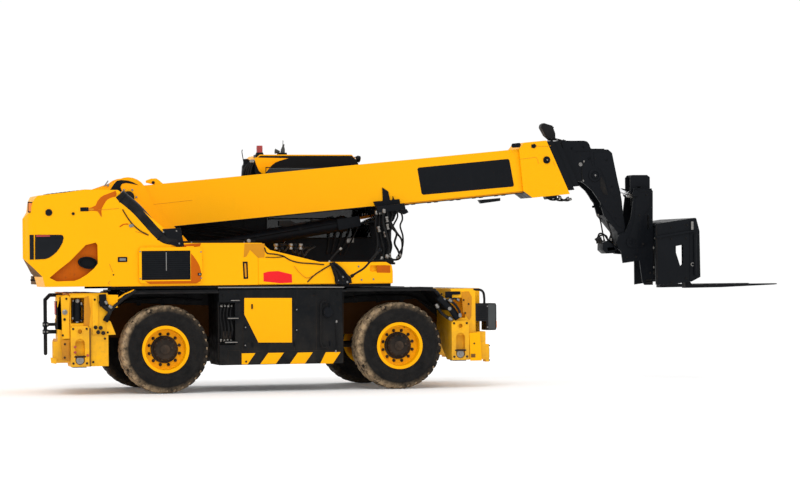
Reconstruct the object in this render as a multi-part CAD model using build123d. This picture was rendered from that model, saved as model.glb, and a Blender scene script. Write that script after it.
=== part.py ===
from build123d import *
import os
import math

os.makedirs("parts", exist_ok=True)

# Rotating telehandler, millimetres, +Z up, +X towards the forks, +Y to the machine's left.
# Everything is drawn about the slew axis (x = 0, midway between the axles) and then
# shifted by SHIFT_X, so that the origin lies on the ground at the middle of the overall length.

# ---------------------------------------------------------------- driving dimensions
TYRE_R = 575.0          # 1.15 m tyre
TYRE_W = 445.0
RIM_SEAT_R = 286.0      # 22.5 inch rim
RIM_FLANGE_R = 310.0
HUB_R = 148.0
HALF_TRACK = 1020.0
AXLE_X = 1565.0         # wheelbase 3.13 m
KINGPIN_Y = 800.0
FRAME_HALF_W = 400.0
FRAME_Z0, FRAME_Z1 = 760.0, 1250.0
CHASSIS_TOP = 1360.0
TURRET_Z = 1400.0
HALF_W = 1200.0         # bodywork half width
SLEW_R = 620.0

PX, PZ = -1900.0, 2580.0    # boom pivot
BOOM_DEG = 5.3              # boom angle as parked
BOOM_V = -155.0             # boom centre line below the pivot
BX, BZ = -1400.0, 1800.0    # lift cylinder, turret pin
RX, RZ = 1620.0, 2300.0     # lift cylinder, rod eye
TX, TZ = 5120.0, 1920.0     # fork carriage pivot
CX, CZ = 3900.0, 3010.0     # tilt cylinder, barrel pin
EX, EZ = 5200.0, 2600.0     # tilt cylinder, rod eye

LEG_DEG = 22.6              # stabiliser beams slope down and out
LEG_W, LEG_H, LEG_L = 200.0, 240.0, 1200.0
REAR_LEG_R, REAR_LEG_L = -2680.0, -2500.0
FRONT_LEG_R, FRONT_LEG_L = 2400.0, 2540.0

SHIFT_X = -1865.0


# ---------------------------------------------------------------- helpers
def bx(x0, x1, y0, y1, z0, z1):
    return Pos((x0 + x1) / 2, (y0 + y1) / 2, (z0 + z1) / 2) * Box(abs(x1 - x0), abs(y1 - y0), abs(z1 - z0))


def prism(pts, vec):
    w = Wire.make_polygon([Vector(*p) for p in pts], close=True)
    return Solid.extrude(Face(w), Vector(*vec))


def pxz(pts, y0, y1):
    return prism([(x, y0, z) for x, z in pts], (0, y1 - y0, 0))


def pyz(pts, x0, x1):
    return prism([(x0, y, z) for y, z in pts], (x1 - x0, 0, 0))


def pxy(pts, z0, z1):
    return prism([(x, y, z0) for x, y in pts], (0, 0, z1 - z0))


def rod(p, q, r):
    p, q = Vector(*p), Vector(*q)
    return Solid.make_cylinder(r, (q - p).length, Plane(origin=p, z_dir=q - p))


def cy(x, z, r, y0, y1):
    return rod((x, min(y0, y1), z), (x, max(y0, y1), z), r)


def cz(x, y, r, z0, z1):
    return rod((x, y, z0), (x, y, z1), r)


def cx(y, z, r, x0, x1):
    return rod((x0, y, z), (x1, y, z), r)


def rev_y(pts, x, y, z, side):
    """Closed (radius, outboard) profile turned about a line along Y; outboard follows side."""
    w = Wire.make_polygon([Vector(x + r, y + side * s, z) for r, s in pts], close=True)
    return Solid.revolve(Face(w), 360, Axis((x, y, z), (0, 1, 0)))


def mir(shape):
    return mirror(shape, about=Plane.XZ)


def both(shape):
    return shape + mir(shape)


def put(name, shape):
    s = Pos(SHIFT_X, 0, 0) * shape
    export_step(s, "parts/" + name + ".step")
    print(name, round(s.volume / 1e6, 2), "litres", "valid" if s.is_valid else "INVALID")


def boom(shape):
    """Place a shape drawn in boom coordinates: u along the boom, y across, v square to it."""
    return Pos(PX, 0, PZ) * Rot(0, -BOOM_DEG, 0) * shape


def frustum_pts(front, du, v0, v1):
    return [(front(v0) + du, v0), (front(v1) + du, v1)]


# ---------------------------------------------------------------- wheels
TYRE_PTS = [(286, -200), (286, 200), (311, 201), (332, 214), (430, 222.5), (500, 221.5), (535, 217),
            (560, 204), (572, 182), (575, 155), (575, -155), (572, -182), (560, -204), (535, -217),
            (500, -221.5), (430, -222.5), (332, -214), (311, -201)]
RIM_PTS = [(62, -105), (HUB_R, -105), (HUB_R, 58), (270, 58), (270, -214), (310, -214), (310, -203),
           (286, -203), (286, 203), (310, 203), (310, 214), (270, 214), (262, 84), (HUB_R, 78),
           (HUB_R, 140), (122, 166), (30, 170), (0, 170), (0, 46), (62, 46)]

for tag, sx, sy in (("fl", 1, 1), ("fr", 1, -1), ("rl", -1, 1), ("rr", -1, -1)):
    x, y = sx * AXLE_X, sy * HALF_TRACK
    put("tyre_" + tag, rev_y(TYRE_PTS, x, y, TYRE_R, sy))
    put("rim_" + tag, rev_y(RIM_PTS, x, y, TYRE_R, sy))
    kp = sy * KINGPIN_Y
    kn = cz(x, kp, 70, 456, 694) + cz(x, kp, 35, 396, 754)
    kn += cy(x, TYRE_R, 105, kp, sy * 905) + cy(x, TYRE_R, 60, sy * 900, sy * 1060)
    # track-rod arm behind the kingpin
    kn += bx(x - sx * 190, x, kp - sy * 22 - 20, kp - sy * 22 + 20, 545, 585)
    put("knuckle_" + tag, kn)

# ---------------------------------------------------------------- axles
for name, ax in (("axle_front", AXLE_X), ("axle_rear", -AXLE_X)):
    s = 1 if ax > 0 else -1
    a = cy(ax, TYRE_R, 85, -645, 645) + cy(ax, TYRE_R, 168, -150, 150)
    a += cx(0, TYRE_R, 105, min(ax, ax - s * 290), max(ax, ax - s * 290))
    for sy in (-1, 1):
        yoke = bx(ax - 80, ax + 80, sy * 630, sy * 690, 396, 754)
        yoke += bx(ax - 70, ax + 70, sy * 690, sy * 850, 700, 754)
        yoke += bx(ax - 70, ax + 70, sy * 690, sy * 850, 396, 450)
        a += yoke
        a += bx(ax - 110, ax + 110, sy * 290, sy * 380, 600, FRAME_Z0)
    for sy in (-1, 1):
        a -= cz(ax, sy * KINGPIN_Y, 35.4, 380, 770)
    put(name, a)

shafts = bx(-420, 420, -230, 230, 450, FRAME_Z0)
shafts = chamfer(shafts.edges().filter_by(Axis.X), 50)
shafts += cx(0, TYRE_R, 42, -AXLE_X + 290, AXLE_X - 290)
put("drive_shafts", shafts)

# ---------------------------------------------------------------- chassis
frame = bx(-2305, 2285, -FRAME_HALF_W, FRAME_HALF_W, FRAME_Z0, FRAME_Z1)
frame += both(bx(-2240, 2220, FRAME_HALF_W - 4, FRAME_HALF_W, 720, FRAME_Z0))
for ax in (-AXLE_X, AXLE_X):
    frame -= cy(ax, TYRE_R, 215, -260, 260)
frame -= shafts
put("chassis_frame", frame)

# fixed half of the slew ring
ring = cz(0, 0, SLEW_R, FRAME_Z1, 1372) - cz(0, 0, 480, FRAME_Z1 - 5, 1380)
put("slew_ring", ring)


def side_box(sy):
    pts = [(FRAME_HALF_W, 420), (FRAME_HALF_W, CHASSIS_TOP), (HALF_W - 30, CHASSIS_TOP), (HALF_W, CHASSIS_TOP - 30),
           (HALF_W, 356), (FRAME_HALF_W + 120, 356)]
    b = pyz([(sy * y, z) for y, z in pts], -850, 800)
    b -= cz(0, 0, SLEW_R + 30, FRAME_Z1, CHASSIS_TOP + 10)
    return b


# right box: fuel tank and battery compartment, with a recess for the cables at its back
rb = side_box(-1)
rb -= bx(-850, -640, -HALF_W - 1, -HALF_W + 110, 620, 1180)
put("side_box_right", rb)
# left box: two open steps below the cab door
lb = side_box(1)
lb -= bx(330, 760, HALF_W - 190, HALF_W + 1, 470, 760)
lb -= bx(330, 760, HALF_W - 250, HALF_W + 1, 800, 1090)
lb -= bx(330, 760, HALF_W - 310, HALF_W + 1, 1130, CHASSIS_TOP + 1)
put("side_box_left", lb)


# stabiliser beams and their housings
T16 = math.tan(math.radians(LEG_DEG))
C16, S16 = math.cos(math.radians(LEG_DEG)), math.sin(math.radians(LEG_DEG))
LEG_Y0, LEG_Z0 = 1195.0, 598.6


def leg(xc, sy):
    hv = LEG_H / 2 / C16
    a = (LEG_Y0, LEG_Z0)
    inn = (a[0] - LEG_L * C16, a[1] + LEG_L * S16)
    n = (S16 * LEG_H / 2, C16 * LEG_H / 2)
    pts = [(a[0], a[1] - hv), (a[0], a[1] + hv), (inn[0] + n[0], inn[1] + n[1]), (inn[0] - n[0], inn[1] - n[1])]
    beam = pyz([(sy * y, z) for y, z in pts], xc - LEG_W / 2, xc + LEG_W / 2)
    foot = [(1195, 480.0), (1120, 512.0), (1080, 392), (990, 392), (990, 370), (1195, 370)]
    beam += pyz([(sy * y, z) for y, z in foot], xc - LEG_W / 2 + 10, xc + LEG_W / 2 - 10)
    plate = bx(xc - 120, xc + 120, sy * 1194, sy * 1222, 370, 895)
    plate = chamfer(plate.edges().filter_by(Axis.Y).group_by(Axis.Z)[-1], 26)
    slot = bx(xc - 62, xc + 62, sy * 1150, sy * 1230, 455, 670) + cy(xc, 670, 62, sy * 1150, sy * 1230)
    slot += cy(xc, 455, 62, sy * 1150, sy * 1230)
    plate -= slot + cy(xc, 825, 30, sy * 1180, sy * 1230)
    beam -= bx(xc - 62, xc + 62, sy * 1150, sy * 1230, 415, 700)
    return beam + plate


def tunnel(xc, sy):
    hw, hh = LEG_W / 2 + 6, (LEG_H / 2 + 9) / C16
    y1, y0 = 1300.0, 25.0
    z = lambda y: LEG_Z0 + (LEG_Y0 - y) * T16
    pts = [(y1, z(y1) - hh), (y1, z(y1) + hh), (y0, z(y0) + hh), (y0, z(y0) - hh)]
    t = pyz([(sy * y, zz) for y, zz in pts], xc - hw, xc + hw)
    t += bx(xc - hw, xc + hw, sy * 960, sy * 1300, 300, 620)      # room for the folded foot
    return t


HOUSE_PTS = [(-1180, 372), (-930, 372), (-520, 620), (520, 620), (930, 372), (1180, 372), (1180, 1290),
             (1150, 1320), (-1150, 1320), (-1180, 1290)]

# the back of the rear housing draws in towards the left
rh = pyz(HOUSE_PTS, -2800, -2305) - pxy([(-2810, 290), (-2690, 1180), (-2690, 1200), (-2810, 1200)], 300, 1400)
back = pyz([(-1150, 600), (-1080, 520), (1080, 520), (1080, 1300), (-1100, 1300), (-1150, 1250)], -2960, -2790)
rh += back & pxy([(-2790, -1150), (-2960, -1150), (-2960, -1000), (-2800, 290), (-2790, 290)], 400, 1400)
rh += pyz([(-1150, 480), (-1080, 420), (700, 420), (700, 700), (-1150, 700)], -3020, -2790) & pxy(
    [(-2790, -1150), (-3020, -1150), (-3020, -1050), (-2800, 600), (-2790, 600)], 400, 1400)
rh -= tunnel(REAR_LEG_R, -1) + tunnel(REAR_LEG_L, 1)
rh -= bx(-2790, -2600, -1200, -1010, 930, 1262) + bx(-2600, -2420, 1010, 1200, 930, 1262)
rh -= bx(-2970, -2890, -1040, -640, 760, 1180)
put("stabiliser_frame_rear", rh)

fh = pyz(HOUSE_PTS, 2285, 2757)
fh -= bx(2620, 2800, -1200, -890, 745, 1400) + bx(2620, 2800, 890, 1200, 745, 1400)
fh += bx(2757, 2805, -1175, -1030, 340, 575) + bx(2757, 2805, 1030, 1175, 340, 575)
fh -= tunnel(FRONT_LEG_R, -1) + tunnel(FRONT_LEG_L, 1)
fh -= bx(2300, 2480, -1200, -1010, 930, 1200)
put("stabiliser_frame_front", fh)

put("stabiliser_leg_rr", leg(REAR_LEG_R, -1))
put("stabiliser_leg_rl", leg(REAR_LEG_L, 1))
put("stabiliser_leg_fr", leg(FRONT_LEG_R, -1))
put("stabiliser_leg_fl", leg(FRONT_LEG_L, 1))

# mudguards: flat plate over each tyre, sloping down to the stabiliser housing
mg = []
for sx, xe, xb in ((-1, -2305.0, -850.0), (1, 2285.0, 800.0)):
    top = [(xb, 1296), (xb, 1326), (sx * 2066, 1326), (xe, 1070), (xe, 1030), (sx * 2050, 1296)]
    g = pxz(top, FRAME_HALF_W, HALF_W - 10)
    g += pxz([(xb, 1130), (xb, 1300), (sx * 2055, 1300), (xe, 1040), (xe, 940), (sx * 2000, 1180)],
             FRAME_HALF_W, FRAME_HALF_W + 14)
    mg.append(both(g))
put("mudguards", mg[0] + mg[1])

# head lamp boxes on the front housing, and the grab rail at the right rear corner
lamp = pxz([(2620, 880), (2620, 1120), (2898, 1120), (2912, 1106), (2912, 774), (2898, 760), (2775, 760), (2775, 880)], 905, 1165)
put("front_lights", both(lamp))

rail = rod((-2880, -1000, 1300), (-3040, -1000, 1300), 24) + rod((-3100, -1000, 1240), (-3100, -1000, 545), 24)
rail += rod((-3040, -1000, 1300), (-3100, -1000, 1240), 24) + Pos(-3040, -1000, 1300) * Sphere(24)
rail += Pos(-3100, -1000, 1240) * Sphere(24) + Pos(-3100, -1000, 545) * Sphere(24)
rail += bx(-3115, -2940, -1025, -975, 800, 850) + bx(-3115, -2940, -1025, -975, 900, 940)
rail -= rh
put("rear_grab_rail", rail)

hitch = bx(2757, 2790, -140, 140, 700, 960) + bx(2790, 2960, -75, 75, 790, 830) + bx(2790, 2960, -75, 75, 880, 920)
hitch -= cz(2910, 0, 25.5, 700, 1000)
put("tow_hitch", hitch)

# ---------------------------------------------------------------- turret
base = pxy([(-2900, -300), (-2900, 1170), (1490, 1170), (1490, -1150), (-2250, -1150), (-2250, -300)], TURRET_Z, TURRET_Z + 30)
base += cz(0, 0, SLEW_R, 1378, TURRET_Z) - cz(0, 0, 480, 1370, TURRET_Z + 1)
plate_pts = [(-2600, 1430), (-2600, 2480), (-2530, 2620)]
for d in range(132, 19, -14):
    plate_pts.append((PX + 265 * math.cos(math.radians(d)), PZ + 265 * math.sin(math.radians(d))))
plate_pts += [(-1560, 2480), (-1120, 2010), (-1040, 1900), (-1000, 1430)]
base += both(pxz(plate_pts, 262, 300))
base += bx(-2600, -2570, -262, 262, 1430, 2300)
base += bx(-2000, -1960, -262, 262, 1430, 1900)
base += cy(PX, PZ, 50, -306, 306) + cy(BX, BZ, 45, -306, 306)
base += bx(-950, 1490, -330, -300, 1430, 1560) + bx(-950, 1490, 300, 330, 1430, 1560)
put("turret_frame", base)

POD = [(-3120, 1405), (-3154, 1537), (-3331, 1714), (-3385, 1776), (-3385, 2290), (-3307, 2374), (-3267, 2515),
       (-3202, 2585), (-2830, 2625), (-2600, 2662), (-2165, 2652), (-1333, 1958), (-330, 1952), (-330, 1405)]
POD_IN = [(-3080, 1450), (-3110, 1560), (-3290, 1735), (-3335, 1795), (-3335, 2270), (-3262, 2360), (-3225, 2490),
          (-3180, 2545), (-2830, 2582), (-2600, 2618), (-2182, 2606), (-1350, 1914), (-375, 1908), (-375, 1450)]
pod = pxz(POD, -HALF_W, -300)
# rounded and drawn-in rear corners seen from above
pod -= pxy([(-3500, -1300), (-3240, -1300), (-3272, -1200), (-3330, -1150), (-3368, -1060), (-3500, -1000)], 1300, 2800)
pod -= pxy([(-3500, -1060), (-3372, -1000), (-3290, -700), (-3200, -299), (-3500, -299)], 1300, 2800)
pod_in = pxz(POD_IN, -HALF_W + 45, -345) - bx(-3500, -2380, -HALF_W, -200, 1300, 2800)
pod_in += bx(-2250, -375, -1150, -345, 1429, 1460)
pod -= pod_in
pod -= bx(-2250, 1490, -1150, -290, 1395, 1430)
pod -= bx(-1880, -1100, -1300, -1100, 1462, 1880)      # engine door opening
pod -= base
# scooped exhaust outlet low on the side
scoop = pxz([(-3063, 1523), (-2953, 1616), (-2797, 1736), (-2693, 1840), (-2591, 1943), (-2549, 1953), (-2462, 1974), (-2440, 1944),
             (-2437, 1700), (-2487, 1638), (-2575, 1564), (-2670, 1507), (-2739, 1482), (-2970, 1476)], -HALF_W - 1, -HALF_W + 60)
pod -= scoop
put("engine_pod", pod)

door = bx(-1905, -1075, -1232, -1205, 1440, 1905)
door = chamfer(door.edges().filter_by(Axis.Y), 30)
door -= bx(-1870, -1230, -1300, -1100, 1480, 1860)
door += bx(-1870, -1230, -1222, -1214, 1480, 1860)
# knuckles of its top hinge
for x in (-1800, -1280):
    door += cx(-1212, 1908, 9, x, x + 100)
put("engine_door", door)

put("engine_block", bx(-2150, -1150, -1060, -520, 1470, 1900))

cover = pxz([(-330, 1405), (-330, 1952), (-273, 1950), (-167, 1857), (502, 1693), (1400, 1685), (1478, 1640), (1490, 1560),
             (1490, 1379 + 26)], -HALF_W, -480)
cover -= bx(-330, 1490, -1150, -470, 1395, 1430)
cover -= pxz([(1180, 1560), (1400, 1560), (1400, 1640), (1180, 1640)], -HALF_W - 1, -HALF_W + 40)
put("front_side_cover", cover)

# counterweight across the rear, behind the pivot plates
cw = pxy([(-3080, -299), (-3080, 500), (-3020, 900), (-2880, 1150), (-2300, 1150), (-2300, 320), (-2600, 320), (-2600, -299)],
         1430, 2360)
cw -= pod + both(pxz(plate_pts, 262, 300))
cw = cw - pyz([(1160, 2200), (1000, 2400), (1160, 2400)], -3200, -2200)
put("counterweight", cw)

tank = bx(-2290, -160, 330, 1150, 1430, 2230)
tank = chamfer(tank.edges().filter_by(Axis.X).group_by(Axis.Z)[-1], 60)
put("hydraulic_tank", tank)

# ---------------------------------------------------------------- cab
CAB = [(-60, 1430), (1480, 1430), (1700, 1660), (1715, 1980), (1560, 2620), (1370, 3080), (1300, 3150), (10, 3150), (-60, 3080)]
CAB_IN = [(0, 1490), (1455, 1490), (1642, 1685), (1655, 1975), (1502, 2600), (1318, 3050), (1280, 3092), (40, 3092), (0, 3052)]
CY0, CY1 = 340.0, 1225.0
cab_out = pxz(CAB, CY0, CY1)
cab_in = pxz(CAB_IN, CY0 + 50, CY1 - 50)
W_RIGHT = pxz([(90, 2020), (1560, 2020), (1440, 2560), (1270, 2990), (90, 2990)], CY0 - 1, CY0 + 51)
W_REAR = bx(-61, 1, CY0 + 110, CY1 - 110, 2060, 2980)
W_ROOF = bx(250, 1180, CY0 + 120, CY1 - 120, 3091, 3151)
# windscreen between the cab's front corner posts
W_FRONT = pxz([(1730, 1720), (1730, 1990), (1572, 2630), (1395, 3060), (1300, 3030), (1490, 2590), (1640, 1975), (1628, 1735)],
              CY0 + 70, CY1 - 70)
D_OPEN = pxz([(190, 1500), (1330, 1500), (1420, 1620), (1440, 2000), (1330, 2560), (1190, 3010), (190, 3010)], CY1 - 51, CY1 + 1)
shell = cab_out - cab_in - W_RIGHT - W_REAR - W_ROOF - W_FRONT - D_OPEN
put("cab_shell", shell)

g_right = pxz([(90, 2020), (1560, 2020), (1440, 2560), (1270, 2990), (90, 2990)], CY0 + 20, CY0 + 28)
g_rear = bx(-34, -26, CY0 + 110, CY1 - 110, 2060, 2980)
g_roof = bx(250, 1180, CY0 + 120, CY1 - 120, 3118, 3126)
mid = pxz([(1672, 1700), (1685, 1980), (1532, 2612), (1332, 3100), (1324, 3096), (1524, 2609), (1677, 1979), (1664, 1700)],
          CY0 + 60, CY1 - 60)
g_front = W_FRONT & mid
put("cab_glass", g_right + g_rear + g_roof + g_front)

DOOR = [(202, 1512), (1324, 1512), (1408, 1624), (1428, 1998), (1319, 2554), (1181, 2998), (202, 2998)]
D_WIN = [(280, 1900), (1340, 1900), (1342, 2010), (1248, 2530), (1130, 2920), (280, 2920)]
cdoor = pxz(DOOR, CY1 - 48, CY1)
cdoor -= pxz(D_WIN, CY1 - 60, CY1 + 10)
for z in (1600, 2700):
    cdoor += cz(200, 1228, 9, z, z + 100)
put("cab_door", cdoor)
put("door_glass", pxz(D_WIN, CY1 - 28, CY1 - 20))

seat = bx(240, 700, 560, 1000, 1490, 1780) + bx(250, 760, 540, 1020, 1780, 1900)
seat += pxz([(250, 1900), (390, 1900), (290, 2560), (170, 2560)], 560, 1000)
seat += pxz([(190, 2560), (265, 2560), (240, 2740), (175, 2740)], 650, 910)
put("operator_seat", seat)

console = pxz([(1330, 1490), (1560, 1660), (1600, 1900), (1560, 2010), (1340, 1980), (1200, 1490)], 480, 1080)
console += rod((1380, 780, 1960), (1150, 780, 2230), 35)
wheel = Pos(1140, 780, 2242) * Rot(0, -40.4, 0) * (Cylinder(190, 24) - Cylinder(160, 30))
wheel += Pos(1140, 780, 2242) * Rot(0, -40.4, 0) * Box(330, 36, 16)
console += wheel
put("cab_console", console)

beacon = cz(60, 620, 50, 3150, 3175) + cz(60, 620, 42, 3175, 3300)
put("beacon", beacon)


# ---------------------------------------------------------------- boom
def tube(u0, u1, hv, hy, t):
    o = bx(u0, u1, -hy, hy, BOOM_V - hv, BOOM_V + hv)
    return o - bx(u0 - 10, u1 + 10, -hy + t, hy - t, BOOM_V - hv + t, BOOM_V + hv - t)


def front(v):
    return 5840.0 + (215.0 - v) * 260.0 / 765.0


def collar(d0, d1, v0, v1, hy, hv_in, hy_in):
    c = pxz([(front(v1) + d0, v1), (front(v1) + d1, v1), (front(v0) + d1, v0), (front(v0) + d0, v0)], -hy, hy)
    return c - bx(5000, 7000, -hy_in, hy_in, BOOM_V - hv_in, BOOM_V + hv_in)


B1, B2, B3, B4 = (290, 250), (260, 222), (232, 196), (204, 170)

b1 = bx(-90, 5700, -250, 250, -445, 135)
b1 -= pxz([(-100, 80), (-100, -460), (330, -460), (-60, 60)], -300, 300)
b1 += cy(0, 0, 120, -250, 250)
b1 += pxz([(5440, 135), (5520, 215), (front(215), 215), (front(-550), -550), (5560, -550), (5440, -445)], -292, 292)
b1 -= bx(150, 7000, -238, 238, -433, 123)
b1 -= pxz([(60, 123), (60, -60), (175, -200), (175, 123)], -238, 238)
b1 -= cy(0, 0, 50.5, -300, 300)
# lift cylinder bracket: two side plates that run down past the tube
ear_u = (RX - PX) * math.cos(math.radians(BOOM_DEG)) + (RZ - PZ) * math.sin(math.radians(BOOM_DEG))
ear_v = (RZ - PZ) * math.cos(math.radians(BOOM_DEG)) - (RX - PX) * math.sin(math.radians(BOOM_DEG))
ear = pxz([(ear_u - 130, -445), (ear_u - 150, -385), (ear_u + 215, -385), (ear_u + 222, -445), (ear_u + 110, ear_v - 60),
           (ear_u + 40, ear_v - 110), (ear_u - 40, ear_v - 110), (ear_u - 110, ear_v - 60)], 250, 268)
ear_low = pxz([(ear_u - 150, -445), (ear_u + 222, -445), (ear_u + 100, ear_v - 60), (ear_u + 40, ear_v - 110),
               (ear_u - 40, ear_v - 110), (ear_u - 100, ear_v - 60)], 92, 122)
b1 += both(ear) + both(ear_low)
b1 += both(cy(ear_u, ear_v, 45, 92, 275))
# two pointed hose brackets that stand up the boom's side above the cylinder's bracket
fins = pxz([(1588, 2405), (1578, 2697), (1661, 2640), (1708, 2405)], 250, 268)
fins += pxz([(1700, 2410), (1725, 2580), (1766, 2475), (1800, 2400)], 250, 268)
put("boom_base", boom(b1) + both(fins))

b2 = tube(190, 6080, *B2, 10)
b2 -= pxz([(front(215) + 95, 215), (7000, 215), (7000, -600), (front(-600) + 95, -600)], -300, 300)
b2 += collar(8, 95, -500, 205, 275, 258, 220)
b2 -= bx(180, 7000, -212, 212, BOOM_V - 250, BOOM_V + 250)
put("boom_section_2", boom(b2))

b3 = tube(230, 6200, *B3, 10)
b3 -= pxz([(front(215) + 190, 215), (7000, 215), (7000, -600), (front(-600) + 190, -600)], -300, 300)
b3 += collar(103, 190, -455, 195, 245, 230, 194)
b3 -= bx(180, 7000, -186, 186, BOOM_V - 222, BOOM_V + 222)
b3 -= bx(6000, 7000, -76, 76, -600, -330)     # room for the tilt cylinder as it swings down
put("boom_section_3", boom(b3))

# inner section with the boom head and its goose-neck
b4 = boom(tube(270, 6180, *B4, 10) - bx(6000, 7000, -76, 76, -600, -330))
HEAD = [(4150, 3325), (4522, 3322), (4571, 3214), (4820, 3213), (4878, 3166), (4949, 2815), (4989, 2640), (5013, 2497), (5027, 2321),
        (5046, 2090), (5190, 2010), (5240, 1920), (5200, 1820), (5120, 1790), (5000, 1815), (4985, 1870), (4940, 2070), (4750, 2300),
        (4700, 2480), (4580, 2650), (4458, 2752), (4428, 2780), (4345, 2770)]
head = both(pxz(HEAD, 136, 170))
web_low = pxz([(4750, 2300), (4940, 2070), (4985, 1870), (5012, 1880), (4966, 2084), (4776, 2316)], -136, 136)
web_top = pxz([(4150, 3325), (4522, 3322), (4571, 3214), (4820, 3213), (4878, 3166), (4864, 3140), (4808, 3185), (4552, 3186),
               (4506, 3290), (4160, 3290)], -136, 136)
head += web_low + web_top
head += both(pxz([(4170, 3180), (4345, 3180), (4345, 3318), (4156, 3318)], 100, 170))
head += both(cy(TX, TZ, 115, 100, 170))
b4 += head
b4 -= both(cy(TX, TZ, 40.5, 60, 200))
b4 += both(cy(CX, CZ, 30, 45, 168))
put("boom_head", b4)

# ---------------------------------------------------------------- cylinders
a = math.atan2(RZ - BZ, RX - BX)
L0 = math.hypot(RX - BX, RZ - BZ)


def along(ox, oz, ang, s, v=0.0):
    return (ox + s * math.cos(ang) - v * math.sin(ang), 0, oz + s * math.sin(ang) + v * math.cos(ang))


lb_ = cy(BX, BZ, 92, -62, 62) + rod(along(BX, BZ, a, 60), along(BX, BZ, a, 2560), 96)
lb_ -= cy(BX, BZ, 45.5, -70, 70) + rod(along(BX, BZ, a, 125), along(BX, BZ, a, 2600), 63)
put("lift_cylinder_barrel", lb_)
lr = rod(along(BX, BZ, a, 1250), along(BX, BZ, a, L0 - 40), 55) + cy(RX, RZ, 78, -72, 72)
lr += cy(RX, RZ, 40, -80, 80)
put("lift_cylinder_rod", lr)

a2 = math.atan2(EZ - CZ, EX - CX)
L2 = math.hypot(EX - CX, EZ - CZ)
tb = cy(CX, CZ, 66, -40, 40) + rod(along(CX, CZ, a2, 50), along(CX, CZ, a2, 1100), 62)
tb -= rod(along(CX, CZ, a2, 76), along(CX, CZ, a2, 1200), 45)
tb -= both(cy(CX, CZ, 31, 38, 60))
put("tilt_cylinder_barrel", tb)
tr = rod(along(CX, CZ, a2, 205), along(CX, CZ, a2, L2 - 30), 38) + cy(EX, EZ, 58, -48, 48)
put("tilt_cylinder_rod", tr)

# ---------------------------------------------------------------- quick hitch, carriage and forks
HITCH = [(4940, 1840), (4982, 1800), (4990, 1760), (5008, 1637), (5250, 1666), (5290, 1370), (5325, 1330), (5440, 1330), (5453, 2637),
         (5412, 2669), (5178, 2670), (5176, 2575), (5131, 2256), (5046, 2066), (4960, 2040), (4915, 1930)]
HITCH_L = [(4940, 1840), (4982, 1800), (5004, 1768), (5310, 1745), (5441, 1738)] + HITCH[8:]
gap = pxz([(5362, 2112), (5385, 2098), (5400, 2130), (5400, 2290), (5388, 2308), (5366, 2290)], -215, 215)
qh = pxz(HITCH, -208, -178) + pxz(HITCH_L, 178, 208) - gap
qh += bx(5400, 5440, -208, 208, 1330, 2670) - bx(5390, 5450, 70, 220, 1320, 1700)
qh += both(pxz([(5155, 2600), (5155, 2824), (5185, 2860), (5400, 2860), (5440, 2830), (5440, 2600), (5330, 2600), (5320, 2700),
                (5250, 2700), (5240, 2600)], 95, 122))
qh += bx(5185, 5400, -122, 122, 2826, 2860)
qh += bx(5370, 5400, -208, 208, 2560, 2660)
qh += cy(TX, TZ, 40, -216, 216) + both(cy(EX, EZ, 32, 50, 214))
qh += both(bx(5440, 5690, 150, 180, 1420, 2120))
put("quick_hitch", qh)

fc = bx(5690, 5768, -750, 750, 2080, 2150) + bx(5690, 5768, -750, 750, 1370, 1460)
for y in (-235, 235):
    fc += bx(5690, 5768, y - 15, y + 15, 1400, 2150)
fc += bx(5690, 5715, -235, 235, 1400, 2150) - bx(5680, 5720, -120, 120, 1600, 1950)
END = [(5821, 1375), (5947, 1437), (5940, 2068), (5895, 2240), (5881, 2250)]
endp = pxz([(5480, 1330)] + END + [(5480, 2194)], 720, 750) + pxz([(5305, 1338), (5480, 1330)] + END + [(5305, 2170)], -750, -720)
endp -= pxz([(5569, 1858), (5702, 1881), (5699, 1629), (5657, 1582)], -760, 760)
fc += endp
fc += pxz([(5480, 2194), (5881, 2250), (5881, 2226), (5480, 2168)], -750, 750)
fc += pxz([(5305, 2170), (5481, 2194), (5481, 2168), (5305, 2144)], -750, -640)
fc += both(pxz([(5480, 2180), (5700, 2200), (5700, 2080)], 205, 235))
put("fork_carriage", fc)


def fork(yc):
    f = bx(5770, 5830, yc - 75, yc + 75, 1290, 2110)
    f += pxz([(5770, 1286), (5770, 1336), (7100, 1336), (7115, 1330), (7115, 1324), (7075, 1318), (6300, 1290)],
             yc - 75, yc + 75)
    f += pxz([(5825, 1330), (5870, 1330), (5825, 1400)], yc - 75, yc + 75)
    return f


put("forks", fork(-550) + fork(550))

# work lamp on its bracket, on top of the boom's head
wl = pxz([(4255, 3318), (4255, 3350), (4120, 3358), (4094, 3400), (4002, 3390), (4002, 3343), (4165, 3343), (4165, 3318)], -28, 28)
wl += pxz([(3898, 3560), (3930, 3584), (4054, 3547), (4094, 3440), (4094, 3388), (4010, 3362), (3950, 3412), (3890, 3520)], -65, 65)
wl -= b4
put("work_light", wl)
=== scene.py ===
import bpy
import bmesh
import math
import random
from mathutils import Vector, Matrix, Euler


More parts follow.
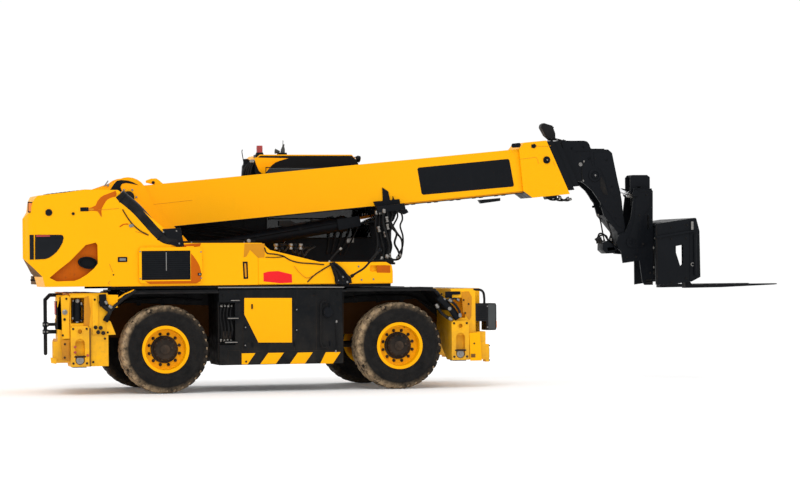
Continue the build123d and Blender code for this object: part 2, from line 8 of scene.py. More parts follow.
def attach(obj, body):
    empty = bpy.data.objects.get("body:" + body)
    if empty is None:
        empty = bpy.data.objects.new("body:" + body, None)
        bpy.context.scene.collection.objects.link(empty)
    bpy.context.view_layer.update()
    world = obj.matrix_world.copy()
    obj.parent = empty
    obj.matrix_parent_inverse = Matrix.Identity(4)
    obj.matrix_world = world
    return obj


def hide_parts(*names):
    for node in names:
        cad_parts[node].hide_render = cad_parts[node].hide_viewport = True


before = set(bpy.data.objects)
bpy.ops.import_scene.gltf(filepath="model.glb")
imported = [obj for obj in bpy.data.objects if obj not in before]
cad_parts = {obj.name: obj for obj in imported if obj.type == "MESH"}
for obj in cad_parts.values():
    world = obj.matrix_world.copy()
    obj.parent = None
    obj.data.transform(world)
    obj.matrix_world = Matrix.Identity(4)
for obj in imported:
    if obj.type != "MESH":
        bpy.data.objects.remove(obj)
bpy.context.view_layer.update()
SX = -1.865                      # the slew axis lies here; pieces are drawn about it
random.seed(7)
scene = bpy.context.scene


def V(x, y, z):
    return Vector((x + SX, y, z))


# ================================================================ materials
def new_mat(name):
    m = bpy.data.materials.new(name)
    m.use_nodes = True
    nt = m.node_tree
    for n in list(nt.nodes):
        nt.nodes.remove(n)
    out = nt.nodes.new("ShaderNodeOutputMaterial")
    sh = nt.nodes.new("ShaderNodeBsdfPrincipled")
    nt.links.new(sh.outputs["BSDF"], out.inputs["Surface"])
    return m, nt, sh


def coords(nt):
    return nt.nodes.new("ShaderNodeTexCoord").outputs["Object"]


def noise(nt, co, scale, detail=4.0, rough=0.55, sx=None, dist=0.0):
    if sx:
        mp = nt.nodes.new("ShaderNodeMapping")
        mp.inputs["Scale"].default_value = sx
        nt.links.new(co, mp.inputs["Vector"])
        co = mp.outputs["Vector"]
    n = nt.nodes.new("ShaderNodeTexNoise")
    n.inputs["Scale"].default_value = scale
    n.inputs["Detail"].default_value = detail
    n.inputs["Roughness"].default_value = rough
    n.inputs["Distortion"].default_value = dist
    nt.links.new(co, n.inputs["Vector"])
    return n.outputs["Fac"]


def ramp(nt, fac, stops):
    r = nt.nodes.new("ShaderNodeValToRGB")
    e = r.color_ramp.elements
    while len(e) < len(stops):
        e.new(0.5)
    for i, (p, c) in enumerate(stops):
        e[i].position = p
        e[i].color = (c, c, c, 1) if isinstance(c, (int, float)) else (c[0], c[1], c[2], 1)
    nt.links.new(fac, r.inputs["Fac"])
    return r.outputs["Color"]


def mix(nt, fac, a, b, mode="MIX"):
    n = nt.nodes.new("ShaderNodeMix")
    n.data_type = "RGBA"
    n.blend_type = mode
    if isinstance(fac, (int, float)):
        n.inputs["Factor"].default_value = fac
    else:
        nt.links.new(fac, n.inputs["Factor"])
    for key, v in (("A", a), ("B", b)):
        s = [i for i in n.inputs if i.name == key and i.type == "RGBA"][0]
        if isinstance(v, tuple):
            s.default_value = (v[0], v[1], v[2], 1)
        else:
            nt.links.new(v, s)
    return [o for o in n.outputs if o.type == "RGBA"][0]


def math_(nt, op, a, b=None, clamp=False):
    n = nt.nodes.new("ShaderNodeMath")
    n.operation = op
    n.use_clamp = clamp
    for i, v in enumerate((a, b)):
        if v is None:
            continue
        if isinstance(v, (int, float)):
            n.inputs[i].default_value = v
        else:
            nt.links.new(v, n.inputs[i])
    return n.outputs[0]


def bump(nt, sh, h, strength=0.3, dist=0.002, base=None):
    b = nt.nodes.new("ShaderNodeBump")
    b.inputs["Strength"].default_value = strength
    b.inputs["Distance"].default_value = dist
    nt.links.new(h, b.inputs["Height"])
    if base is not None:
        nt.links.new(base, b.inputs["Normal"])
    nt.links.new(b.outputs["Normal"], sh.inputs["Normal"])
    return b.outputs["Normal"]


def sep(nt, co):
    s = nt.nodes.new("ShaderNodeSeparateXYZ")
    nt.links.new(co, s.inputs[0])
    return s.outputs


def paint(name, col, rough=0.34, coat=0.25, dirt=(0.32, 0.22, 0.12), dirt_amt=0.25, streaks=0.25, low=None, vary=0.06,
          chips=None, orange=0.25):
    """Sprayed enamel over steel: slow colour drift, rain streaks, dust that gathers low down, faint orange peel."""
    m, nt, sh = new_mat(name)
    co = coords(nt)
    big = noise(nt, co, 0.9, 3.0)
    c1 = tuple(min(1.0, v * (1 + vary)) for v in col)
    c0 = tuple(v * (1 - vary * 1.6) for v in col)
    base = mix(nt, ramp(nt, big, [(0.3, 0.0), (0.7, 1.0)]), c0, c1)
    st = noise(nt, co, 6.0, 5.0, 0.6, sx=(3.0, 3.0, 0.35))
    sm = ramp(nt, st, [(0.56, 0.0), (0.78, 1.0)])
    base = mix(nt, math_(nt, "MULTIPLY", sm, streaks), base, tuple(c * 0.45 + d * 0.4 for c, d in zip(col, dirt)))
    sp = noise(nt, co, 24.0, 6.0, 0.7)
    spm = ramp(nt, sp, [(0.58, 0.0), (0.72, 1.0)])
    base = mix(nt, math_(nt, "MULTIPLY", spm, dirt_amt), base, dirt)
    fac_low = None
    if low:
        z = sep(nt, co)[2]
        g = math_(nt, "MULTIPLY_ADD", z, -1.0 / (low[1] - low[0]))
        gn = nt.nodes[-1]
        gn.inputs[2].default_value = low[1] / (low[1] - low[0])
        gn.use_clamp = True
        dn = noise(nt, co, 3.2, 7.0, 0.65)
        fac_low = math_(nt, "MULTIPLY", math_(nt, "MULTIPLY", g, low[2]), ramp(nt, dn, [(0.32, 0.0), (0.72, 1.0)]))
        base = mix(nt, fac_low, base, dirt)
    if chips:
        cn = noise(nt, co, 60.0, 8.0, 0.75, dist=0.4)
        base = mix(nt, ramp(nt, cn, [(0.70, 0.0), (0.735, 1.0)]), base, chips)
    nt.links.new(base, sh.inputs["Base Color"])
    rr = ramp(nt, noise(nt, co, 11.0, 5.0), [(0.25, rough * 0.8), (0.8, min(1.0, rough * 1.55))])
    nt.links.new(rr, sh.inputs["Roughness"])
    sh.inputs["Coat Weight"].default_value = coat * 0.08
    sh.inputs["Coat Roughness"].default_value = 0.18
    sh.inputs["Specular IOR Level"].default_value = 0.08
    fine = noise(nt, co, 260.0, 2.0)
    wave = noise(nt, co, 2.2, 2.0)
    h = math_(nt, "ADD", math_(nt, "MULTIPLY", fine, orange), math_(nt, "MULTIPLY", wave, 2.0))
    bump(nt, sh, h, 0.25, 0.0012)
    return m


YEL = (0.96, 0.425, 0.0)
YELLOW = paint("yellow_enamel", YEL, rough=0.36, coat=0.3, dirt=(0.35, 0.17, 0.03), dirt_amt=0.05, streaks=0.05, vary=0.015)
YELLOW_DIRTY = paint("yellow_enamel_dusty", (0.93, 0.46, 0.01), rough=0.45, coat=0.12, dirt=(0.27, 0.13, 0.045), dirt_amt=0.3, streaks=0.3,
                     low=(0.2, 1.5, 0.75), vary=0.05, chips=(0.12, 0.07, 0.04))
# painted shade: the yellow as it looks in shade, used for recesses, undersides and inner walls, and also for seam lines
# and grime
YELLOW_SHADE = paint("yellow_enamel_painted_shade_and_grime", (0.62, 0.25, 0.012), rough=0.5, coat=0.1, dirt=(0.14, 0.07, 0.03), dirt_amt=0.4, streaks=0.4,
                     low=(0.2, 1.5, 0.8), vary=0.08)
BLACK = paint("black_enamel", (0.0045, 0.0055, 0.0075), rough=0.42, coat=0.25, dirt=(0.05, 0.045, 0.04), dirt_amt=0.10, streaks=0.10, vary=0.1)
BLACK_DUSTY = paint("black_enamel_dusty", (0.005, 0.006, 0.0075), rough=0.5, coat=0.12, dirt=(0.07, 0.058, 0.045), dirt_amt=0.14, streaks=0.2,
                    low=(0.2, 1.5, 0.3), vary=0.12, chips=(0.07, 0.066, 0.062))
CAST = paint("cast_iron_painted", (0.012, 0.0115, 0.0115), rough=0.62, coat=0.0, dirt=(0.09, 0.06, 0.04), dirt_amt=0.28, streaks=0.3,
             low=(0.1, 1.2, 0.7), vary=0.15, orange=1.2)


def plastic(name, col, rough=0.5, grain=0.4, scale=420.0, dust=0.15):
    m, nt, sh = new_mat(name)
    co = coords(nt)
    d = ramp(nt, noise(nt, co, 5.0, 6.0, 0.65), [(0.45, 0.0), (0.8, 1.0)])
    base = mix(nt, math_(nt, "MULTIPLY", d, dust), col, tuple(min(1.0, c * 0.5 + 0.06) for c in col))
    nt.links.new(base, sh.inputs["Base Color"])
    rr = ramp(nt, noise(nt, co, 18.0, 4.0), [(0.3, rough * 0.85), (0.75, min(1.0, rough * 1.3))])
    nt.links.new(rr, sh.inputs["Roughness"])
    sh.inputs["Specular IOR Level"].default_value = 0.12
    bump(nt, sh, noise(nt, co, scale, 3.0), grain, 0.0006)
    return m


def metal(name, col, rough=0.25, dirt=0.2, aniso=0.0):
    m, nt, sh = new_mat(name)
    co = coords(nt)
    sh.inputs["Metallic"].default_value = 1.0
    d = ramp(nt, noise(nt, co, 9.0, 6.0, 0.65), [(0.5, 0.0), (0.85, 1.0)])
    base = mix(nt, math_(nt, "MULTIPLY", d, dirt), col, (0.12, 0.09, 0.07))
    nt.links.new(base, sh.inputs["Base Color"])
    rr = ramp(nt, noise(nt, co, 30.0, 5.0), [(0.3, rough * 0.7), (0.8, min(1.0, rough * 1.9))])
    nt.links.new(rr, sh.inputs["Roughness"])
    bump(nt, sh, noise(nt, co, 180.0, 3.0), 0.12, 0.0005)
    return m


PLASTIC = plastic("moulded_black", (0.009, 0.009, 0.010))
RUBBER = plastic("hose_rubber", (0.006, 0.006, 0.0065), rough=0.42, grain=0.6, scale=240.0, dust=0.25)
CHROME = metal("hard_chrome", (0.82, 0.83, 0.85), 0.12, 0.08)
STEEL = metal("bare_steel", (0.24, 0.235, 0.23), 0.38, 0.5)
ZINC = metal("plated_fittings", (0.26, 0.25, 0.235), 0.36, 0.5)


def glass(name, tint, rough=0.03):
    m, nt, sh = new_mat(name)
    co = coords(nt)
    sh.inputs["Transmission Weight"].default_value = 1.0
    sh.inputs["IOR"].default_value = 1.45
    d = ramp(nt, noise(nt, co, 2.5, 6.0, 0.7), [(0.35, 0.0), (0.85, 1.0)])
    base = mix(nt, math_(nt, "MULTIPLY", d, 0.2), tint, tuple(t * 0.6 for t in tint))
    nt.links.new(base, sh.inputs["Base Color"])
    rr = ramp(nt, noise(nt, co, 7.0, 5.0), [(0.3, rough), (0.85, rough * 3.5)])
    nt.links.new(rr, sh.inputs["Roughness"])
    return m


GLASS = glass("tinted_glass", (0.045, 0.05, 0.053))


def lens(name, col, rough=0.12, emis=0.0):
    m, nt, sh = new_mat(name)
    co = coords(nt)
    n = ramp(nt, noise(nt, co, 8.0, 4.0), [(0.3, 0.0), (0.8, 1.0)])
    nt.links.new(mix(nt, n, tuple(c * 0.75 for c in col), col), sh.inputs["Base Color"])
    sh.inputs["Roughness"].default_value = rough
    sh.inputs["Coat Weight"].default_value = 0.6 if col[0] > 0.1 else 0.05
    sh.inputs["Specular IOR Level"].default_value = 0.5 if col[0] > 0.1 else 0.08
    w = nt.nodes.new("ShaderNodeTexWave")
    w.inputs["Scale"].default_value = 60.0
    nt.links.new(co, w.inputs["Vector"])
    bump(nt, sh, w.outputs["Fac"], 0.25, 0.001)
    return m


RED_LENS = lens("red_lens", (0.42, 0.012, 0.008))
AMBER_LENS = lens("amber_lens", (0.85, 0.22, 0.01))
CLEAR_LENS = lens("clear_lens", (0.72, 0.74, 0.76), 0.08)
DARK_LENS = lens("smoked_lens", (0.008, 0.0095, 0.0125), 0.3)

# ---------------------------------------------------------------- finish of the CAD nodes
NODE_MAT = {
    "boom_base": YELLOW, "turret_frame": YELLOW, "engine_pod": YELLOW, "engine_door": YELLOW, "front_side_cover": YELLOW, "counterweight": YELLOW,
    "chassis_frame": YELLOW_SHADE, "stabiliser_frame_rear": YELLOW_DIRTY, "stabiliser_frame_front": YELLOW_DIRTY,
    "side_box_right": BLACK_DUSTY, "side_box_left": BLACK_DUSTY, "rear_grab_rail": BLACK_DUSTY, "boom_section_2": BLACK, "boom_section_3": BLACK,
    "boom_head": BLACK, "quick_hitch": BLACK, "fork_carriage": BLACK, "forks": BLACK_DUSTY, "tow_hitch": CAST, "hydraulic_tank": BLACK,
    "cab_shell": BLACK, "cab_door": BLACK, "lift_cylinder_barrel": BLACK, "tilt_cylinder_barrel": BLACK, "axle_front": CAST, "axle_rear": CAST,
    "drive_shafts": CAST, "engine_block": CAST, "slew_ring": CAST, "mudguards": PLASTIC, "cab_console": PLASTIC, "front_lights": PLASTIC,
    "work_light": PLASTIC, "lift_cylinder_rod": CHROME, "tilt_cylinder_rod": CHROME, "cab_glass": GLASS, "door_glass": GLASS,
    "operator_seat": PLASTIC, "beacon": RED_LENS,
}
for t in ("fl", "fr", "rl", "rr"):
    NODE_MAT["rim_" + t] = YELLOW
    NODE_MAT["tyre_" + t] = RUBBER
    NODE_MAT["knuckle_" + t] = CAST
    NODE_MAT["stabiliser_leg_" + t] = YELLOW_DIRTY

NODE_BEVEL = {"boom_base": 0.008, "engine_pod": 0.014, "front_side_cover": 0.012, "turret_frame": 0.006, "counterweight": 0.014,
              "side_box_right": 0.01, "side_box_left": 0.01, "cab_shell": 0.012, "cab_door": 0.008, "hydraulic_tank": 0.012}


def finish_node(name, material, bevel=0.005):
    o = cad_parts[name]
    o.data.materials.clear()
    o.data.materials.append(material)
    for p in o.data.polygons:
        p.material_index = 0
    if "custom_normal" in o.data.attributes:
        o.data.attributes.remove(o.data.attributes["custom_normal"])
    if "sharp_face" in o.data.attributes:
        o.data.attributes.remove(o.data.attributes["sharp_face"])
    w = o.modifiers.new("weld", "WELD")
    w.merge_threshold = 0.00005
    if bevel:
        b = o.modifiers.new("bevel", "BEVEL")
        b.width = bevel
        b.segments = 2
        b.limit_method = "ANGLE"
        b.angle_limit = math.radians(32)
        b.use_clamp_overlap = True
        b.harden_normals = False
    n = o.modifiers.new("normals", "WEIGHTED_NORMAL")
    n.keep_sharp = True
    return o


for name, material in NODE_MAT.items():
    finish_node(name, material, NODE_BEVEL.get(name, 0.004))

# ================================================================ mesh tools
C0 = Vector((-7.70571928, -39.33972802, 1.66471775))     # camera, about the slew axis
CR = Vector((0.9715326, -0.23668763, -0.01016733))
CU = Vector((0.0088124, -0.00678182, 0.99993817))
CF = Vector((0.23674195, 0.97156213, 0.00450297))
FPX = 2961.13


def pix(px, py, y):
    """(x, z) where the ray through a pixel meets the plane at that y."""
    d = CF + CR * ((px - 400.0) / FPX) + CU * ((250.0 - py) / FPX)
    t = (y - C0.y) / d.y
    p = C0 + d * t
    return (p.x, p.z)


def pixs(pts, y):
    return [pix(a, b, y) for a, b in pts]


def smooth_line(pts, per=8):
    """Catmull-Rom through the points."""
    p = [Vector(q) for q in pts]
    if len(p) < 3:
        return p
    p = [p[0] * 2 - p[1]] + p + [p[-1] * 2 - p[-2]]
    out = []
    for i in range(1, len(p) - 2):
        a, b, c, d = p[i - 1], p[i], p[i + 1], p[i + 2]
        for k in range(per):
            t = k / per
            out.append(0.5 * ((2 * b) + (c - a) * t + (2 * a - 5 * b + 4 * c - d) * t * t + (3 * b - a - 3 * c + d) * t * t * t))
    out.append(p[-2])
    return out


class Solid:
    """Gathers closed shapes, each with its own chamfers, into one mesh object."""

    def __init__(self):
        self.bm = bmesh.new()
        self.mats = []

    def mi(self, m):
        if m not in self.mats:
            self.mats.append(m)
        return self.mats.index(m)

    def take(self, tmp, mat, bev=0.0, segs=2, M=None, limit=30):
        bmesh.ops.recalc_face_normals(tmp, faces=tmp.faces)
        if bev > 0:
            es = [e for e in tmp.edges if len(e.link_faces) == 2 and e.calc_face_angle(0) > math.radians(limit)]
            if es:
                bmesh.ops.bevel(tmp, geom=es, offset=bev, offset_type="OFFSET", segments=segs, profile=0.6, affect="EDGES", clamp_overlap=True)
        if M is not None:
            bmesh.ops.transform(tmp, matrix=M, verts=tmp.verts)
        k = self.mi(mat)
        for f in tmp.faces:
            f.material_index = k
        me = bpy.data.meshes.new("part")
        tmp.to_mesh(me)
        tmp.free()
        self.bm.from_mesh(me)
        bpy.data.meshes.remove(me)

    def prism(self, pts, a, b, mat, plane="xz", bev=0.003, segs=2, M=None):
        def at(p, d):
            return {"xz": (p[0], d, p[1]), "xy": (p[0], p[1], d), "yz": (d, p[0], p[1])}[plane]
        t = bmesh.new()
        lo = [t.verts.new(at(p, a)) for p in pts]
        hi = [t.verts.new(at(p, b)) for p in pts]
        n = len(pts)
        t.faces.new(lo)
        t.faces.new(hi[::-1])
        for i in range(n):
            t.faces.new((lo[i], lo[(i + 1) % n], hi[(i + 1) % n], hi[i]))
        self.take(t, mat, bev, segs, M)

    def block(self, x0, x1, y0, y1, z0, z1, mat, bev=0.004, segs=2, M=None):
        self.prism([(x0, y0), (x1, y0), (x1, y1), (x0, y1)], z0, z1, mat, "xy", bev, segs, M)

    def lathe(self, prof, mat, org=(0, 0, 0), axis=(0, 0, 1), n=32, M=None):
        """prof is (radius, height) from one end to the other; ends on the axis are closed."""
        t = bmesh.new()
        rings = []
        for r, h in prof:
            if r < 1e-6:
                rings.append([t.verts.new((0, 0, h))])
            else:
                rings.append([t.verts.new((r * math.cos(2 * math.pi * i / n), r * math.sin(2 * math.pi * i / n), h)) for i in range(n)])
        for a, b in zip(rings, rings[1:]):
            for i in range(n):
                j = (i + 1) % n
                if len(a) == 1 and len(b) > 1:
                    t.faces.new((a[0], b[j], b[i]))
                elif len(b) == 1 and len(a) > 1:
                    t.faces.new((a[i], a[j], b[0]))
                elif len(a) > 1:
                    t.faces.new((a[i], a[j], b[j], b[i]))
        if len(rings[0]) > 1 and (prof[0] != prof[-1]):
            t.faces.new(rings[0][::-1])
            t.faces.new(rings[-1])
        elif prof[0] == prof[-1] and len(rings[0]) > 1:
            bmesh.ops.remove_doubles(t, verts=rings[0] + rings[-1], dist=1e-6)
        q = Vector(axis).to_track_quat("Z", "Y").to_matrix().to_4x4()
        W = Matrix.Translation(Vector(org)) @ q
        self.take(t, mat, 0, 2, (M @ W) if M is not None else W)

    def tube(self, pts, r, mat, n=12, per=8, smooth=True, M=None, ends=None):
        line = smooth_line(pts, per) if smooth else [Vector(p) for p in pts]
        if M is not None:
            line = [M @ p for p in line]
        t = bmesh.new()
        rings = []
        tan0 = (line[1] - line[0]).normalized()
        ref = Vector((0, 0, 1)) if abs(tan0.z) < 0.9 else Vector((1, 0, 0))
        u = tan0.cross(ref).normalized()
        for i, p in enumerate(line):
            tan = (line[min(i + 1, len(line) - 1)] - line[max(i - 1, 0)]).normalized()
            u = (u - tan * u.dot(tan)).normalized()
            v = tan.cross(u)
            rr = r(i / (len(line) - 1)) if callable(r) else r
            rings.append([t.verts.new(p + (u * math.cos(2 * math.pi * k / n) + v * math.sin(2 * math.pi * k / n)) * rr) for k in range(n)])
        for a, b in zip(rings, rings[1:]):
            for k in range(n):
                t.faces.new((a[k], a[(k + 1) % n], b[(k + 1) % n], b[k]))
        t.faces.new(rings[0][::-1])
        t.faces.new(rings[-1])
        self.take(t, mat)
        if ends:                                  # crimped ferrules
            for a, b in ((line[0], line[1]), (line[-1], line[-2])):
                d = (b - a).normalized()
                rr = r(0) if callable(r) else r
                self.lathe([(0, 0), (rr * 1.25, 0), (rr * 1.45, rr * 0.3), (rr * 1.45, rr * 2.4), (rr * 1.2, rr * 2.9), (0, rr * 2.9)], ends, a, d, 10)

    def bolt(self, p, axis, af, mat, h=None, washer=True, M=None):
        """Hexagon head with a chamfered crown on a washer; p is on the face."""
        h = h or af * 0.62
        r = af / math.sqrt(3)
        a = Vector(axis).normalized()
        p = Vector(p)
        if washer:
            self.lathe([(0, 0), (r * 1.25, 0), (r * 1.25, af * 0.1), (r * 1.15, af * 0.14), (0, af * 0.14)], mat, p, a, 18, M)
        q = p + a * (af * 0.12)
        self.lathe([(0, 0), (r, 0), (r, h * 0.82), (r * 0.84, h), (r * 0.4, h * 1.02), (0, h * 1.02)], mat, q, a, 6, M)

    def done(self, name, body, angle=34, at=None):
        """Closes the mesh; at keeps the points local to that place."""
        if at is None:
            bmesh.ops.translate(self.bm, vec=(SX, 0, 0), verts=self.bm.verts)
        me = bpy.data.meshes.new(name)
        self.bm.to_mesh(me)
        self.bm.free()
        for m in self.mats:
            me.materials.append(m)
        me.polygons.foreach_set("use_smooth", [True] * len(me.polygons))
        me.set_sharp_from_angle(angle=math.radians(angle))
        o = bpy.data.objects.new(name, me)
        if at is not None:
            o.location = (at[0] + SX, at[1], at[2])
        scene.collection.objects.link(o)
        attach(o, body)
        return o


BM = Matrix.Translation(Vector((-1.9, 0, 2.58))) @ Matrix.Rotation(math.radians(-5.3), 4, "Y")      # boom coordinates


def bpt(u, y, v):
    return BM @ Vector((u, y, v))


def to_boom(x, z):
    q = BM.inverted() @ Vector((x, 0, z))
    return (q.x, q.z)


# ================================================================ tyres
def radial(nt, co):
    s = sep(nt, co)
    c = nt.nodes.new("ShaderNodeCombineXYZ")
    nt.links.new(s[0], c.inputs[0])
    nt.links.new(s[2], c.inputs[2])
    v = nt.nodes.new("ShaderNodeVectorMath")
    v.operation = "LENGTH"
    nt.links.new(c.outputs[0], v.inputs[0])
    return v.outputs["Value"], s


# k scales the mud's colour; below 1 it darkens the mud to paint shade on the far wheels
def tyre_material(name, k=1.0):
    m, nt, sh = new_mat(name)
    co = coords(nt)
    r, s = radial(nt, co)
    n1 = noise(nt, co, 9.0, 8.0, 0.7)
    n2 = noise(nt, co, 34.0, 8.0, 0.75)
    side = ramp(nt, math_(nt, "MULTIPLY_ADD", s[0], -0.9), [(0.0, 0.0), (1.0, 1.0)])
    nt.nodes[-2].inputs[2].default_value = 0.42
    grow = ramp(nt, r, [(0.485, 0.0), (0.575, 1.0)])
    rub = mix(nt, ramp(nt, n1, [(0.35, 0.0), (0.75, 1.0)]), (0.006, 0.0058, 0.006), (0.018, 0.0165, 0.0155))
    rub = mix(nt, ramp(nt, n2, [(0.55, 0.0), (0.78, 0.45)]), rub, (0.05, 0.043, 0.036))
    amt = math_(nt, "MULTIPLY", grow, math_(nt, "ADD", math_(nt, "MULTIPLY", side, 1.4), 0.06))
    mud = math_(nt, "MULTIPLY", amt, ramp(nt, n1, [(0.38, 0.0), (0.58, 1.0)]), True)
    col = mix(nt, mud, rub, (0.44 * k, 0.31 * k, 0.18 * k))
    nt.links.new(col, sh.inputs["Base Color"])
    nt.links.new(ramp(nt, n2, [(0.3, 0.62), (0.8, 0.95)]), sh.inputs["Roughness"])
    sh.inputs["Specular IOR Level"].default_value = 0.1
    h = math_(nt, "ADD", n2, math_(nt, "MULTIPLY", n1, 1.5))
    bump(nt, sh, h, 0.5, 0.004)
    return m


def mud_material(name, k):
    m, nt, sh = new_mat(name)
    co = coords(nt)
    n1 = noise(nt, co, 14.0, 8.0, 0.7)
    n2 = noise(nt, co, 70.0, 8.0, 0.75)
    col = mix(nt, ramp(nt, n1, [(0.3, 0.0), (0.75, 1.0)]), (0.17 * k, 0.11 * k, 0.06 * k), (0.50 * k, 0.36 * k, 0.22 * k))
    col = mix(nt, ramp(nt, n2, [(0.35, 0.8), (0.55, 0.0)]), col, (0.05 * k, 0.035 * k, 0.022 * k))
    nt.links.new(col, sh.inputs["Base Color"])
    nt.links.new(ramp(nt, n2, [(0.3, 0.85), (0.8, 1.0)]), sh.inputs["Roughness"])
    bump(nt, sh, math_(nt, "ADD", n2, n1), 0.7, 0.004)
    return m


# the far (left) wheels take copies with darkened mud: painted shade
TYRE_M = tyre_material("tyre_rubber_dusty")
TYRE_FAR_SHADED = tyre_material("tyre_rubber_damp", 0.12)
MUD_M = mud_material("dried_mud", 1.0)
MUD_FAR_SHADED = mud_material("mud_far_painted_shade", 0.16)


def ring_mesh(S, prof, mat, n, side=1, fr=None):
    """prof is (radius, outboard); fr may lift a point by angle and place."""
    t = bmesh.new()
    rows = []
    for k in range(n):
        a = 2 * math.pi * k / n
        row = []
        for i, (r, s) in enumerate(prof):
            rr = r + (fr(a, s, r, i) if fr else 0.0)
            row.append(t.verts.new((rr * math.cos(a), side * s, rr * math.sin(a))))
        rows.append(row)
    for k in range(n):
        a, b = rows[k], rows[(k + 1) % n]
        for i in range(len(prof) - 1):
            t.faces.new((a[i], b[i], b[i + 1], a[i + 1]))
    S.take(t, mat)


CARC = [(0.287, -0.198), (0.300, -0.203), (0.312, -0.205), (0.320, -0.212), (0.332, -0.214), (0.338, -0.2105), (0.352, -0.2135), (0.380, -0.2175),
        (0.384, -0.2195), (0.392, -0.2195), (0.396, -0.2185), (0.430, -0.2215), (0.468, -0.2205), (0.472, -0.2222), (0.480, -0.2218),
        (0.484, -0.219), (0.508, -0.2155), (0.530, -0.205), (0.544, -0.186), (0.549, -0.15), (0.551, -0.08), (0.552, 0.0)]
CARC = CARC + [(r, -s) for r, s in reversed(CARC[:-1])]
PITCH = 32


def lug(S, a0, prof, half, side, mat, skew=0.0, shrink=0.004):
    """A tread lug: (radius, outboard) outline swept through a small angle, with chamfered ends."""
    cr = sum(p[0] for p in prof) / len(prof)
    cs = sum(p[1] for p in prof) / len(prof)

    def outline(d):
        out = []
        for r, s in prof:
            v = Vector((r - cr, s - cs))
            L = v.length
            v = v * ((L - d) / L) if L > d else v
            out.append((cr + v.x, cs + v.y))
        return out
    t = bmesh.new()
    rows = []
    ch = 0.005 / 0.56
    for da, d in ((-half, shrink), (-half + ch, 0.0), (0.0, 0.0), (half - ch, 0.0), (half, shrink)):
        row = []
        for r, s in outline(d):
            a = a0 + da + skew * (s - cs)
            row.append(t.verts.new((r * math.cos(a), side * s, r * math.sin(a))))
        rows.append(row)
    n = len(prof)
    for p, q in zip(rows, rows[1:]):
        for i in range(n):
            t.faces.new((p[i], p[(i + 1) % n], q[(i + 1) % n], q[i]))
    t.faces.new(rows[0][::-1])
    t.faces.new(rows[-1])
    S.take(t, mat)


SHOULDER = [(0.538, 0.088), (0.5735, 0.092), (0.5748, 0.130), (0.573, 0.165), (0.569, 0.187), (0.560, 0.203), (0.541, 0.2165), (0.512, 0.2215),
            (0.500, 0.2190), (0.505, 0.205), (0.530, 0.190), (0.538, 0.150)]
CENTRE = [(0.540, 0.006), (0.5735, 0.009), (0.5748, 0.045), (0.5738, 0.081), (0.540, 0.084)]


